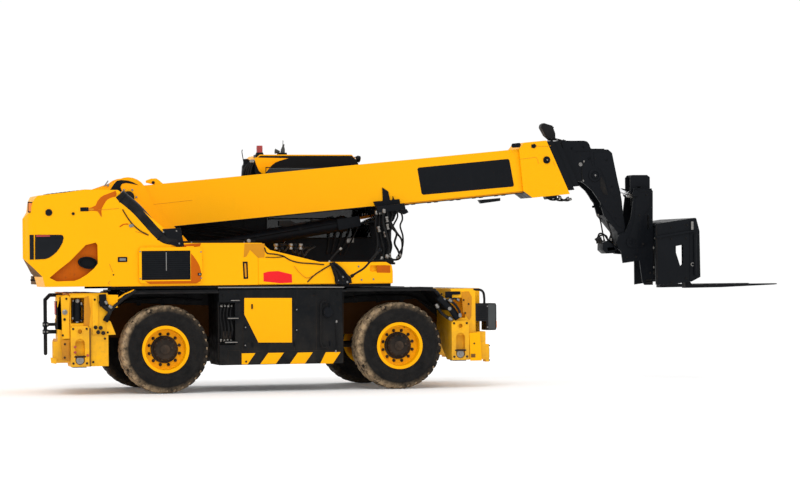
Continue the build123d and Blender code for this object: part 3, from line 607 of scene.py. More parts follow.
def make_tyre(tag, sx, sy):
    x, y = sx * 1.565, sy * 1.020
    # the far (left) wheels take the copy with darkened mud: painted shade
    rub = TYRE_M if sy < 0 else TYRE_FAR_SHADED
    S = Solid()
    ring_mesh(S, CARC + [CARC[0]], rub, 180)
    pitch = 2 * math.pi / PITCH
    for i in range(PITCH):
        for side, off in ((1, 0.0), (-1, 0.5)):
            a = (i + off) * pitch
            lug(S, a, SHOULDER, pitch * 0.315, side, rub, skew=0.55)
            lug(S, a + pitch * 0.47, CENTRE, pitch * 0.33, side, rub, skew=-1.1)
            # small sidewall cleat between two lugs
            lug(S, a + pitch * 0.5, [(0.492, 0.214), (0.497, 0.2205), (0.520, 0.2165), (0.535, 0.206), (0.530, 0.196)], pitch * 0.07, side, rub)
    o = S.done("tyre_lugged_" + tag, "wheel_" + tag, 28, at=(x, y, 0.575))
    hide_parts("tyre_" + tag)
    # dried mud, packed between the lugs and smeared over the shoulders; on the far wheels it is darkened, which paints
    # shade
    from mathutils import noise as mnoise
    M = Solid()
    prof = []
    for k in range(27):
        s = -0.214 + 0.428 * k / 26
        a = abs(s)
        r = 0.5525 if a < 0.15 else 0.5525 - (a - 0.15) * 0.10 if a < 0.186 else 0.549 - (a - 0.186) * 1.35
        prof.append((r, s))
    seed = {"fl": 1.3, "fr": 7.7, "rl": 13.1, "rr": 21.9}[tag]

    def lift(a, s, r, i):
        p = Vector((math.cos(a) * 0.575, s, math.sin(a) * 0.575))
        f = mnoise.fractal(p * 9.0 + Vector((seed, seed * 2, 0)), 1.0, 2.0, 5)
        g = mnoise.fractal(p * 34.0 + Vector((0, seed, seed)), 1.0, 2.0, 4)
        rear = 0.5 - 0.5 * math.cos(a)
        h = 0.004 + 0.012 * f + 0.004 * g + 0.013 * rear
        return max(-0.008, min(0.019, h)) if 0 < i < 26 else -0.01
    ring_mesh(M, prof, MUD_M if sy < 0 else MUD_FAR_SHADED, 300, 1, lift)
    M.done("tyre_mud_" + tag, "wheel_" + tag, 60, at=(x, y, 0.575))
    # wheel nuts, hub flange, planetary cover with its bolts and plugs, valve
    H = Solid()
    Yo = lambda s: sy * s
    for i in range(12):
        a = 2 * math.pi * (i + 0.5) / 12
        H.bolt((0.205 * math.cos(a), Yo(0.081), 0.205 * math.sin(a)), (0, sy, 0), 0.030, CAST, 0.026)
    H.lathe([(0.150, 0.0), (0.176, 0.0), (0.180, 0.004), (0.180, 0.014), (0.174, 0.018), (0.150, 0.018), (0.150, 0.0)], CAST, (0, Yo(0.080), 0), (0, sy, 0), 64)
    for i in range(10):
        a = 2 * math.pi * i / 10
        H.bolt((0.1335 * math.cos(a), Yo(0.151), 0.1335 * math.sin(a)), (0, sy, 0), 0.019, CAST, 0.012)
    H.lathe([(0.0, 0.0), (0.060, 0.0), (0.062, 0.003), (0.062, 0.010), (0.050, 0.016), (0.0, 0.018)], CAST, (0, Yo(0.168), 0), (0, sy, 0), 40)
    H.bolt((0.0, Yo(0.186), 0.0), (0, sy, 0), 0.034, CAST, 0.012)
    H.bolt((0.088, Yo(0.169), 0.02), (0, sy, 0), 0.022, CAST, 0.010)
    va = math.radians(70 if sx > 0 else 200)
    H.tube([(0.255 * math.cos(va), Yo(0.088), 0.255 * math.sin(va)), (0.256 * math.cos(va), Yo(0.115), 0.256 * math.sin(va)),
            (0.266 * math.cos(va), Yo(0.140), 0.266 * math.sin(va))], 0.0045, RUBBER, 8, 4)
    H.done("hub_fittings_" + tag, "wheel_" + tag, 30, at=(x, y, 0.575))


for tag, sx, sy in (("fl", 1, 1), ("fr", 1, -1), ("rl", -1, 1), ("rr", -1, -1)):
    make_tyre(tag, sx, sy)
    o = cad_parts["rim_" + tag]
    o.data.materials.append(CAST)
    for p in o.data.polygons:
        c = p.center
        r = math.hypot(c.x - SX - sx * 1.565, c.z - 0.575)
        p.material_index = 1 if r < 0.1495 else 0

# ================================================================ engine pod, boom and what hangs on them
# dark scuffed brown; at the pod's lower rear corner and along the counterweight's lower edge it is painted shade
RUST_AND_SHADE = paint("scuffed_edge_and_painted_shade", (0.16, 0.075, 0.02), rough=0.7, coat=0.0, dirt=(0.025, 0.02, 0.018), dirt_amt=0.85, streaks=0.3, vary=0.3,
             chips=(0.75, 0.4, 0.03), orange=1.5)
RED_FILM = plastic("red_film", (0.78, 0.012, 0.018), 0.4, 0.3, 200.0, 0.05)
# painted shade: the yellow as it looks in deep orange shade, for the scoop, the recess edges and round the engine door
ORANGE_SHADE = paint("yellow_enamel_painted_orange_shade", (0.52, 0.105, 0.002), rough=0.55, coat=0.05, dirt=(0.20, 0.05, 0.006), dirt_amt=0.5, streaks=0.4, vary=0.08)
GREY_FILM = plastic("grey_panel", (0.055, 0.06, 0.062), 0.45, 0.3, 200.0, 0.3)


def plate(S, pts, y, t, mat, bev=0.002, inset=0.003, M=None):
    """A plate on a face at y, from pixels of the front view; t is its thickness towards the right."""
    S.prism(pixs(pts, y), y + inset, y - t, mat, "xz", bev, 2, M)


def shade_faces(name, material, test):
    """Gives some faces of a CAD node their own paint."""
    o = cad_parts[name]
    o.data.materials.append(material)
    k = len(o.data.materials) - 1
    R = o.matrix_world.to_3x3()
    for p in o.data.polygons:
        c = o.matrix_world @ p.center
        if test(c.x - SX, c.y, c.z, R @ p.normal):
            p.material_index = k


# painted shade: the pod's faces that look down and rearwards at its lower rear corner get the dark scuffed brown
shade_faces("engine_pod", RUST_AND_SHADE, lambda x, y, z, n: x < -3.05 and z < 1.8 and n.x < -0.1 and n.z < -0.3)
# painted shade: the scoop's inner faces and the pod's downward faces get the orange shaded yellow
shade_faces("engine_pod", ORANGE_SHADE, lambda x, y, z, n: (-3.08 < x < -2.42 and 1.46 < z < 1.98 and -1.199 < y < -1.13) or (y < -0.4 and n.z < -0.9))
shade_faces("boom_base", BLACK, lambda x, y, z, n: abs(y) > 0.2502 and 1.3 < x < 1.95 and z < 2.72 or (z < 2.2 and x < 3))
shade_faces("chassis_frame", BLACK_DUSTY, lambda x, y, z, n: n.z > 0.8 and z > 1.2)
# painted shade: the boom's downward faces get the shaded yellow
shade_faces("boom_base", YELLOW_SHADE, lambda x, y, z, n: n.z < -0.8 and abs(y) < 0.25 and z > 2.2)
shade_faces("engine_door", BLACK, lambda x, y, z, n: -1.223 < y < -1.213 and 1.47 < z < 1.87 and -1.88 < x < -1.22)

S = Solid()
# marker lamp and wrap-round rear lamp
plate(S, [(27.6, 201.6), (33.4, 202.2), (33.4, 213), (27.6, 212.5)], -1.145, 0.035, BLACK, 0.004)
plate(S, [(28.4, 202.8), (32.6, 203.2), (32.6, 211.8), (28.4, 211.4)], -1.175, 0.01, AMBER_LENS, 0.003)
LAMP = [(35.0, 234.8), (61.2, 234.8), (62.9, 235.6), (63.6, 238.0), (62.6, 242.4), (59.8, 247.6), (56.8, 251.8), (52.6, 255.5), (49.0, 257.8),
        (45.3, 259.1), (35.0, 259.6)]
plate(S, LAMP, -1.2, 0.007, DARK_LENS, 0.003)
zt, zb = pix(33, 234.8, -1.19)[1], pix(33, 259.6, -1.19)[1]
S.prism([(-3.262, -1.207), (-3.274, -1.206), (-3.314, -1.171), (-3.308, -1.164), (-3.268, -1.19)], zb, zt, DARK_LENS, "xy", 0.002)
plate(S, [(36, 235.2), (50, 235.2), (50, 236.6), (36, 236.8)], -1.2065, 0.003, RED_LENS, 0.001)
for k in range(3):
    a, b = 36 + k * 8.5, 43.5 + k * 8.5
    plate(S, [(a, 237.6), (b, 237.6), (b, 238.3), (a, 238.3)], -1.2068, 0.0015, BLACK, 0.0005)
# cap, plug, catch
for (px_, py_, r) in ((48.8, 212.5, 0.045), (73.2, 213.7, 0.019)):
    x, z = pix(px_, py_, -1.2)
    S.lathe([(0, 0), (r, 0), (r, 0.010), (r * 0.86, 0.017), (r * 0.55, 0.017), (r * 0.5, 0.011), (0, 0.011)], PLASTIC, (x, -1.199, z), (0, -1, 0), 32)
plate(S, [(80.2, 207.4), (88.4, 207.2), (88.6, 211.2), (80.4, 211.4)], -1.2, 0.006, BLACK, 0.003)
# painted shade: a shaded yellow strip beside the catch
plate(S, [(88.2, 208.4), (93.8, 208.6), (93.8, 209.8), (88.2, 210.2)], -1.2, 0.004, YELLOW_SHADE, 0.001)
# painted shade: an orange-brown band along the recess edge from the catch up to the boom pivot, and orange shade beside
# the engine door
C = lambda pts, y: [(x, y, z) for x, z in pixs(pts, y)]
plate(S, [(95.7, 205.4), (97.4, 201.2), (100.7, 197.3), (104.0, 195.2), (107.3, 194.0), (111.6, 192.4), (115.6, 190.7), (116.6, 193.4), (116.0, 196.5),
          (112.6, 197.2), (109.8, 198.2), (107.4, 199.6), (105.7, 201.5), (103.6, 205.0), (101.5, 209.0), (101.4, 212.4), (101.9, 216.6), (99.6, 214.0),
          (97.4, 211.2), (91.6, 210.6), (87.4, 211.0), (87.4, 208.4), (91.6, 207.4)], -1.2, 0.003, ORANGE_SHADE, 0.001)
plate(S, [(190.4, 252.9), (193.0, 254.2), (196.4, 258.6), (200.0, 266.4), (201.4, 274.0), (198.6, 278.4), (190.4, 280.2)], -1.2, 0.002, ORANGE_SHADE, 0.0008)
plate(S, [(182.8, 244.8), (192.0, 243.6), (201.0, 243.2), (200.0, 246.2), (188.0, 247.6), (183.0, 247.4)], -1.2, 0.002, ORANGE_SHADE, 0.0008)
plate(S, [(138.8, 254.0), (141.0, 252.4), (142.6, 252.4), (141.2, 254.6), (141.0, 278.4), (139.0, 278.0)], -1.2, 0.002, ORANGE_SHADE, 0.0008)
S.tube(C([(98.5, 209.5), (104, 209.7), (112, 209.0), (119, 208.4)], -1.2), 0.004, YELLOW_SHADE, 6, 4)
S.tube(C([(97.5, 211.0), (99.5, 213.8), (101.5, 217.0)], -1.2), 0.005, YELLOW_SHADE, 6, 4)
# black crescent over the pivot, painted shade for the recess there, with a steel latch beside it
THROAT = [(108.5, 192.0), (111.0, 188.5), (114.0, 184.0), (117.0, 180.8), (121.0, 180.0), (128.0, 180.6), (133.0, 182.2), (138.5, 185.2), (132.0, 183.8),
          (126.0, 183.0), (121.8, 184.0), (120.4, 187.0), (121.8, 190.5), (120.0, 192.5), (116.0, 190.5)]
plate(S, THROAT, -0.30, 0.004, BLACK, 0.0015)
plate(S, [(103.6, 186.2), (107.6, 180.4), (108.6, 181.0), (104.8, 186.6)], -0.30, 0.008, STEEL, 0.002)
plate(S, [(106.2, 185.0), (108.4, 183.4), (109.2, 185.4), (107.4, 187.0)], -0.30, 0.012, ZINC, 0.003)
# padded intake pipe, its elbow box and the thin cable under it
PIPE = C([(118.4, 194.6), (121.8, 198.6), (129.0, 204.4), (136.4, 211.2), (146.0, 221.8), (155.5, 232.2), (164.5, 239.2), (176, 240.6)], -1.13)
S.tube(PIPE, 0.092, RUBBER, 30, 12)
for i in (12, 66):
    L = smooth_line(PIPE, 12)
    d = (L[i + 1] - L[i]).normalized()
    S.lathe([(0.088, -0.011), (0.0945, -0.011), (0.0965, -0.008), (0.0965, 0.008), (0.0945, 0.011), (0.088, 0.011), (0.088, -0.011)], BLACK, L[i], d, 36)
plate(S, [(160.4, 229.2), (178.8, 227.9), (182.2, 246.2), (176.0, 247.4), (168.4, 244.4)], -1.05, 0.17, BLACK, 0.012)
for q in ((163.5, 232.0), (176.5, 231.0), (179.3, 243.5)):
    x, z = pix(q[0], q[1], -1.22)
    S.bolt((x, -1.2199, z), (0, -1, 0), 0.016, ZINC)
S.tube(C([(122.6, 209.5), (127.0, 216.8), (132.5, 224.0), (140.0, 230.6), (148.5, 235.2)], -1.208), 0.0075, RUBBER, 8, 8)
plate(S, [(128.6, 224.8), (133.4, 223.6), (134.0, 226.4), (129.6, 227.6)], -1.2, 0.014, ZINC, 0.003)
S.tube(C([(119.8, 226.8), (123.5, 224.4), (128.0, 224.0)], -1.2), 0.008, ORANGE_SHADE, 6, 4)
S.tube(C([(135.5, 231.5), (141.5, 233.2), (148.0, 235.4)], -1.2), 0.004, YELLOW_SHADE, 6, 4)
# exhaust outlet in the scoop: an oval pipe, open and dark inside
x, z = pix(88.2, 262.8, -1.2)
OV = Matrix.Translation(Vector((x, -1.141, z))) @ Matrix.Rotation(math.radians(8), 4, "Y") @ Matrix.Diagonal(Vector((1.65, 1, 1, 1)))
S.lathe([(0, 0.0), (0.064, 0.0), (0.066, 0.048), (0.073, 0.052), (0.078, 0.047), (0.078, -0.01), (0, -0.01)], BLACK, (0, 0, 0), (0, -1, 0), 40, OV)
# maintenance latch
x, z = pix(122.5, 259.5, -1.2)
S.block(x - 0.062, x + 0.062, -1.208, -1.197, z - 0.033, z + 0.033, BLACK, 0.008, 3)
S.block(x - 0.042, x + 0.042, -1.214, -1.206, z - 0.016, z + 0.016, STEEL, 0.004)
x, z = pix(113.5, 274.8, -1.2)
S.lathe([(0, 0), (0.011, 0), (0.009, 0.006), (0, 0.006)], CAST, (x, -1.199, z), (0, -1, 0), 14)
# thin darker yellow streaks below the pipe and by the latch
for a in (((109.5, 264), (111, 268), (112.8, 272)), ((110, 281), (108.6, 283.0), (109.6, 285)), ((201, 257.5), (202.2, 260), (200.6, 262))):
    S.tube(C(a, -1.2), 0.0045, YELLOW_SHADE, 6, 4)
# black ledge between the pod's top and the boom, camera in the notch, handle slot
S.block(-1.33, -0.345, -1.12, -0.42, 1.951, 1.985, BLACK, 0.006)
# painted shade: the handle slot is a black plate with shaded yellow in it, and the notch is a plate of shaded yellow
plate(S, [(242.6, 261.6), (247.6, 261.6), (248.2, 278.8), (243.6, 279.0)], -1.2, 0.004, BLACK, 0.002)
plate(S, [(244.2, 263.4), (246.0, 263.4), (246.7, 277.2), (245.0, 277.2)], -1.2035, 0.008, YELLOW_SHADE, 0.002)
plate(S, [(244.5, 243.6), (264.6, 243.6), (264.6, 257.4), (258.0, 257.8), (250.0, 250.0), (246.5, 256.5), (243.6, 257.4)], -1.2, 0.002, YELLOW_SHADE, 0.001)
x, z = pix(248, 240.6, -1.1)
S.block(x - 0.035, x + 0.035, -1.14, -1.06, z - 0.04, z + 0.022, BLACK, 0.007)
S.lathe([(0, 0), (0.026, 0), (0.026, 0.02), (0.018, 0.026), (0, 0.022)], ZINC, (x, -1.14, z - 0.006), (0, -1, 0), 20)
plate(S, [(263.4, 273.0), (268, 271.6), (278, 271.0), (288, 273.4), (291.8, 274.4), (292.2, 282.6), (280, 283.2), (263.6, 281.4)], -1.2, 0.002, RED_FILM, 0.0008)
# cables on the front cover
CAB_Y = -1.206
S.tube(C([(264.6, 247.5), (267, 253.0), (275, 254.2), (283, 256.0), (290, 260.0), (299, 262.6), (312, 263.6), (324, 264.6)], CAB_Y), 0.008, RUBBER, 8, 8)
S.tube(C([(265.6, 257.2), (275, 257.4), (284, 256.8)], CAB_Y), 0.005, RUBBER, 8, 6)
S.tube(C([(307.5, 282), (314, 275.5), (322, 270), (331, 264.6)], CAB_Y), 0.008, RUBBER, 8, 6)
S.tube(C([(294, 266), (300, 273), (307, 278), (314, 275)], CAB_Y), 0.004, YELLOW_SHADE, 6, 6)
S.done("pod_fittings", "turret")
S = Solid()
# strut and hose clump in front of the cover's end
CL = [(329.4, 262.6), (334.5, 262.0), (341.5, 268.4), (346.6, 273.6), (350.6, 277.4), (351.6, 283.2), (344.0, 284.4), (335.0, 283.8), (334.2, 277.0), (332.0, 270.0)]
plate(S, CL, -1.2, 0.03, BLACK, 0.006)
for i, (a, b) in enumerate((((330.5, 263.5), (343.5, 281.5)), ((336, 263.8), (349.6, 280.2)), ((333.5, 268.5), (337.5, 283)))):
    S.tube(C([a, ((a[0] + b[0]) / 2 + 1, (a[1] + b[1]) / 2 - 1), b], -1.238 - 0.004 * i), 0.014, RUBBER, 12, 8)
for q in ((338, 280.5), (343, 277), (347.5, 282)):
    x, z = pix(q[0], q[1], -1.24)
    S.bolt((x, -1.232, z), (0, -1, 0), 0.02, STEEL)
S.tube(C([(350.5, 276.8), (356.5, 272.8), (364.0, 268.0), (372.0, 259.0), (380.8, 249.0)], -1.19), 0.017, RUBBER, 14, 8, ends=BLACK)
S.tube(C([(328.5, 263.0), (334, 255.5), (341.5, 248.0)], -1.12), 0.012, RUBBER, 12, 8, ends=ZINC)
plate(S, [(376.6, 265.4), (390.4, 265.4), (390.4, 272.8), (376.8, 272.6)], -1.2, 0.002, ORANGE_SHADE, 0.001)
for q in ((358.6, 266.5), (361.5, 279.8), (373.5, 279.2)):
    x, z = pix(q[0], q[1], -1.2)
    S.bolt((x, -1.1995, z), (0, -1, 0), 0.018, STEEL)
# black trough behind the cover's edge, with hose clamps
S.block(0.02, 1.47, -1.10, -0.50, 1.684, 1.712, BLACK, 0.006)
for i, px_ in enumerate((276, 281.5, 291, 295.5, 300.5)):
    x, z = pix(px_, 249.5, -0.95)
    S.lathe([(0, 0), (0.024, 0), (0.026, 0.012), (0.018, 0.03), (0.03, 0.05), (0.03, 0.075), (0, 0.08)], (ZINC, BLACK)[i % 2], (x, -0.95, max(z, 1.70)), (0, 0, 1), 14)
    S.tube([(x, -0.95, max(z, 1.70) + 0.06), (x + 0.05, -0.9, 1.86 - i * 0.02), (x + 0.16, -0.7, 1.93 - i * 0.02), (x + 0.3, -0.45, 1.9)], 0.013, RUBBER, 10, 8)
S.done("cover_fittings", "turret")

# grille louvres in the engine door
S = Solid()
for k in range(13):
    z = 1.505 + k * 0.0275
    S.prism([(-1.229, z), (-1.2215, z + 0.004), (-1.2215, z + 0.016), (-1.2235, z + 0.016)], -1.862, -1.238, BLACK, "yz", 0.0008, 1)
for x in (-1.868, -1.234):
    S.block(x - 0.004, x + 0.004, -1.2305, -1.2215, 1.482, 1.858, BLACK, 0.001)
S.block(-1.553, -1.541, -1.2312, -1.222, 1.60, 1.84, STEEL, 0.002)
for x, z in ((-1.888, 1.50), (-1.888, 1.85), (-1.09, 1.50), (-1.09, 1.84)):
    S.bolt((x, -1.2318, z), (0, -1, 0), 0.014, ZINC)
# painted shade: an orange border to the right of the grille and below it
plate(S, [(190.9, 253.2), (193.6, 256.2), (196.6, 260.4), (199.4, 265.4), (201.0, 271.2), (201.4, 275.6), (200.8, 281.2), (196.0, 283.4), (150.0, 284.0),
          (144.8, 281.4), (190.9, 280.8)], -1.2318, 0.0012, ORANGE_SHADE, 0.0004, 0.002)
S.block(-1.135, -1.085, -1.2395, -1.2315, 1.532, 1.566, BLACK, 0.004)
S.lathe([(0, 0), (0.012, 0), (0.012, 0.006), (0, 0.008)], STEEL, (-1.11, -1.2385, 1.549), (0, -1, 0), 16)
S.done("engine_door_grille", "engine_door")

# ---------------------------------------------------------------- boom
S = Solid()
PANEL = [(418.6, 167.6), (508.0, 158.9), (509.4, 160.2), (513.9, 185.0), (513.0, 186.6), (423.4, 194.8), (421.6, 193.6), (417.4, 169.2)]
plate(S, PANEL, -0.25, 0.0025, BLACK, 0.001)
LP = [(p[0] + SX * 0, p[1]) for p in pixs(PANEL, -0.25)]
S.prism(LP, 0.247, 0.2525, BLACK, "xz", 0.001)
# seam, top lug, slots and pin of the front collar
Q = lambda pts, y: [(x, y, z) for x, z in pixs(pts, y)]
S.tube(Q([(144.2, 205.4), (168, 202.8), (192.4, 200.2)], -0.2502), 0.003, YELLOW_SHADE, 6, 4)
lug_ = pixs([(146.0, 180.4), (151.0, 178.6), (156.0, 178.4), (159.2, 180.6), (163.6, 184.6)], -0.2)
S.prism(lug_ + [(lug_[-1][0], lug_[-1][1] - 0.03), (lug_[0][0], lug_[0][1] - 0.03)], -0.235, -0.17, YELLOW, "xz", 0.006)
x, z = pix(153.2, 182.6, -0.236)
S.lathe([(0, 0), (0.021, 0), (0.021, 0.008), (0.012, 0.012), (0, 0.012)], CAST, (x, -0.235, z), (0, -1, 0), 20)
YC = -0.292
plate(S, [(512.0, 143.6), (519.6, 142.8), (521.0, 144.6), (519.6, 147.4), (512.4, 147.8), (511.0, 146.0)], YC, 0.012, BLACK, 0.006)
plate(S, [(531.2, 144.6), (534.6, 143.8), (536.4, 146.0), (534.6, 148.2), (531.4, 147.8)], YC, 0.012, BLACK, 0.005)
x, z = pix(546.6, 160.0, YC)
S.lathe([(0, 0), (0.05, 0), (0.05, 0.012), (0.043, 0.018), (0.026, 0.018), (0.024, 0.026), (0, 0.026)], BLACK, (x, YC + 0.001, z), (0, -1, 0), 32)
S.bolt((x, YC - 0.024, z), (0, -1, 0), 0.02, STEEL, washer=False)
for a in (((519.0, 159.4), (529, 158.2), (536.0, 157.6), (538.6, 163.6)), ((553.0, 162.0), (555.2, 166.0)), ((536, 146), (544, 146.6), (551, 145.8))):
    S.tube(Q(a, YC - 0.0002), 0.003, YELLOW_SHADE, 6, 4)
# under the boom: rail, pipes and their clamps along its belly
for yy, rr in ((-0.20, 0.014), (-0.165, 0.011), (0.17, 0.014), (0.20, 0.011)):
    S.tube([bpt(3.78, yy, -0.462), bpt(5.58, yy, -0.462)], rr, BLACK, 10, 2, smooth=False)
for k in range(6):
    u = 3.9 + k * 0.32
    for s in (-1, 1):
        q = [(u - 0.02, s * 0.148), (u + 0.02, s * 0.148), (u + 0.02, s * 0.225), (u - 0.02, s * 0.225)]
        S.prism(q, -0.482, -0.444, BLACK_DUSTY, "xy", 0.003, 2, BM)
# painted shade: shaded yellow strips along the belly's edges
S.prism([(3.62, -0.235), (5.54, -0.235), (5.54, -0.222), (3.62, -0.222)], -0.463, -0.443, YELLOW_SHADE, "xy", 0.002, 2, BM)
S.prism([(3.62, 0.222), (5.54, 0.222), (5.54, 0.235), (3.62, 0.235)], -0.463, -0.443, YELLOW_SHADE, "xy", 0.002, 2, BM)
q = [to_boom(*pix(a, b, -0.15)) for a, b in ((478.0, 200.0), (499.5, 198.0), (499.5, 201.0), (480.5, 203.6))]
S.prism([(u, v) for u, v in q], -0.20, -0.10, BLACK, "xz", 0.006, 2, BM)
# coupling block and loops under the collar
q = [to_boom(*pix(a, b, -0.2)) for a, b in ((543.4, 193.2), (556.6, 191.6), (556.6, 198.4), (546.6, 199.4))]
S.prism(q, -0.23, -0.08, BLACK, "xz", 0.006, 2, BM)
for k, a in enumerate((((546, 196), (550, 199.4), (556, 199.6), (561, 196.6)), ((551, 194.5), (556.5, 199.6), (563, 200.4), (569, 197.6)), ((557, 193.6), (561, 198.8), (567, 200.6), (571.5, 198.8)))):
    S.tube(Q(a, -0.2 + 0.045 * k), 0.013, RUBBER, 12, 8, ends=ZINC)
# trim strip along the boom's lower rear edge
S.tube([bpt(0.35, -0.246, -0.449), bpt(3.3, -0.246, -0.449)], 0.008, BLACK, 8, 2, smooth=False)
S.prism([to_boom(*pix(a, b, -0.2)) for a, b in ((397.0, 207.4), (406.2, 209.2), (408.0, 212.4), (404.0, 214.4), (398.0, 212.0))], -0.24, -0.12, BLACK, "xz", 0.006, 2, BM)
S.done("boom_fittings", "boom")
# hose tower that stands beside the boom on the turret
S = Solid()
HO = [((389.6, 207), (392.2, 214), (391.0, 222), (396.4, 232), (401.6, 240), (402.0, 250), (399.6, 258.2), (393.2, 259.6), (388.6, 256.0)),
      ((392.6, 206.6), (400.6, 212.4), (402.4, 219), (400.2, 226), (402.8, 236), (402.6, 246), (399.0, 254), (396.8, 258.6)),
      ((387.0, 208), (388.0, 219), (392.4, 228.0), (396.6, 233.6), (394.6, 243.0), (398.0, 250.4), (400.8, 257.0)),
      ((384.0, 209), (383.0, 222), (386.6, 236.0), (389.0, 247.4), (386.4, 258.6)),
      ((380.0, 210), (379.4, 226), (381.6, 240.0), (384.0, 251.4), (381.0, 261.0)),
      ((376.6, 211), (375.6, 226), (377.6, 242.0), (376.0, 253.0), (371.0, 262.6)),
      ((395.4, 207), (397.6, 216.0), (394.0, 224.0), (389.6, 234.0), (391.6, 246.0), (389.4, 255.6))]
for k, a in enumerate(HO):
    S.tube(Q(a, -0.335 - 0.024 * (k % 4)), (0.014, 0.012, 0.015, 0.019, 0.021, 0.017, 0.012)[k], RUBBER, 12, 10, ends=ZINC)
for a in ((386.0, 216.6), (386.8, 224.0), (378.0, 226.4), (384.4, 231.4)):
    x, z = pix(a[0], a[1], -0.385)
    S.lathe([(0, 0), (0.026, 0), (0.026, 0.022), (0.019, 0.028), (0.019, 0.05), (0.024, 0.055), (0.024, 0.075), (0, 0.078)], ZINC, (x, -0.395, z), (0.2, 0, -1), 12)
S.prism([pix(a, b, -0.31) for a, b in ((374.6, 209.4), (391.4, 207.0), (391.0, 262.0), (384.0, 262.6), (375.6, 240.0))], -0.324, -0.304, BLACK, "xz", 0.006)
x0, z0 = pix(374.0, 261.0, -0.31)
x1, z1 = pix(391.0, 261.0, -0.31)
S.block(1.22, x1 + 0.03, -0.44, -0.304, z0 - 0.05, z0 - 0.02, BLACK, 0.006)
S.block(x0 - 0.02, x1 + 0.01, -0.44, -0.322, z0 - 0.022, z0 + 0.02, BLACK, 0.008)
S.prism([pix(a, b, -0.33) for a, b in ((375.4, 206.6), (403.0, 203.4), (404.4, 209.6), (376.0, 213.0))], -0.418, -0.316, BLACK, "xz", 0.006)
S.done("hose_tower", "turret")

# ================================================================ chassis, stabilisers, head and carriage
YELLOW_DEEP = paint("yellow_enamel_shadowed", (0.075, 0.026, 0.004), rough=0.6, coat=0.0, dirt=(0.02, 0.012, 0.007), dirt_amt=0.5, streaks=0.5,
                    low=(0.2, 1.4, 0.8), vary=0.15)
finish_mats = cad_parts["chassis_frame"].data.materials
finish_mats[0] = YELLOW_DEEP
# right box: the blank yellow panel, hazard stripes, a bright steel rod on the top edge as its painted highlight,
# handles and catches
Y0 = -1.2
S = Solid()
plate(S, [(244.3, 298.0), (291.8, 298.0), (292.0, 342.5), (258.4, 342.5), (244.3, 314.4)], Y0, 0.0022, YELLOW, 0.0008)
for q in (((241.7, 353.4), (255.4, 353.1), (247.6, 364.4), (241.7, 364.5)), ((268.2, 352.9), (283.9, 352.6), (275.9, 363.8), (260.2, 364.1)),
          ((297.8, 352.6), (312.8, 352.3), (304.9, 363.6), (289.9, 363.8)), ((325.8, 352.2), (340.6, 352.0), (333.0, 363.5), (320.2, 363.6))):
    plate(S, list(q), Y0, 0.002, YELLOW, 0.0006)
ln = C([(327.2, 302.4), (323.4, 301.6), (321.0, 305.0), (320.8, 312.0), (320.8, 336.0), (321.0, 343.4), (323.2, 347.4), (327.0, 347.0)], -1.232)
ln = [(ln[0][0], -1.196, ln[0][2])] + ln + [(ln[-1][0], -1.196, ln[-1][2])]
S.tube(ln, 0.013, BLACK_DUSTY, 14, 8)
# painted highlight: the bright rod stands for the lit top edge of the box
S.tube(C([(218, 287.6), (300, 287.2), (344, 287.2)], -1.196), 0.009, STEEL, 8, 3)
for (a, b, c, d) in ((229.8, 298.4, 240.4, 302.6), (226.8, 316.8, 239.0, 319.8), (224.2, 341.0, 238.0, 343.6)):
    (x0, z1), (x1, z0) = pix(a, b, Y0), pix(c, d, Y0)
    S.block(x0, x1, -1.206, -1.196, z0, z1, BLACK, 0.003)
    S.tube([(x0 + 0.012, -1.204, (z0 + z1) / 2), (x0 + 0.025, -1.222, (z0 + z1) / 2), (x1 - 0.025, -1.222, (z0 + z1) / 2), (x1 - 0.012, -1.204, (z0 + z1) / 2)], 0.0075, ZINC, 10, 6)
for a in ((245.4, 327.4), (245.2, 345.4), (296.6, 309.6), (296.6, 330.0)):
    x, z = pix(a[0], a[1], Y0)
    S.block(x - 0.016, x + 0.016, -1.209, -1.197, z - 0.03, z + 0.03, BLACK, 0.004)
    S.lathe([(0, 0), (0.009, 0), (0.009, 0.005), (0, 0.006)], ZINC, (x, -1.208, z), (0, -1, 0), 14)
# door seams, hinges and the outline of the battery lid
for a in (((243, 292), (243, 351)), ((294.5, 292), (294.5, 351)), ((316.5, 292), (316.5, 351)), ((243, 351.2), (341, 350.4)), ((228, 350.6), (228, 363.8)), ((240, 350.6), (240, 363.8)),
          ((228, 350.6), (240, 350.4)), ((218.6, 305), (218.6, 361)), ((343.4, 292), (343.0, 362))):
    S.tube([(x, Y0 - 0.0005, z) for x, z in pixs(a, Y0)], 0.0032, CAST, 6, 2, smooth=False)
for x in (-0.42, 0.14, 0.62):
    for z in (0.62, 1.12):
        S.lathe([(0, -0.03), (0.011, -0.03), (0.011, 0.03), (0, 0.03)], BLACK, (x + 0.005, -1.207, z), (0, 0, 1), 14)
for x, z in ((-0.80, 0.42), (-0.80, 1.27), (-0.60, 1.27), (0.73, 0.42), (0.73, 1.27), (0.42, 1.27), (-0.5, 0.40), (0.05, 0.39), (0.47, 0.39)):
    S.bolt((x, -1.2005, z), (0, -1, 0), 0.019, BLACK_DUSTY)
S.lathe([(0, 0), (0.065, 0), (0.068, 0.012), (0.068, 0.034), (0.058, 0.042), (0, 0.044)], BLACK, (0.60, -1.199, 1.03), (0, -1, 0), 36)
for k in range(12):
    a = 2 * math.pi * k / 12
    S.block(0.60 + 0.064 * math.cos(a) - 0.006, 0.60 + 0.064 * math.cos(a) + 0.006, -1.234, -1.212, 1.03 + 0.064 * math.sin(a) - 0.006, 1.03 + 0.064 * math.sin(a) + 0.006, BLACK, 0.002)
S.tube([(0.70, -1.19, 0.50), (0.72, -1.206, 0.62), (0.705, -1.206, 0.80), (0.72, -1.19, 0.92)], 0.011, RUBBER, 10, 8, ends=ZINC)
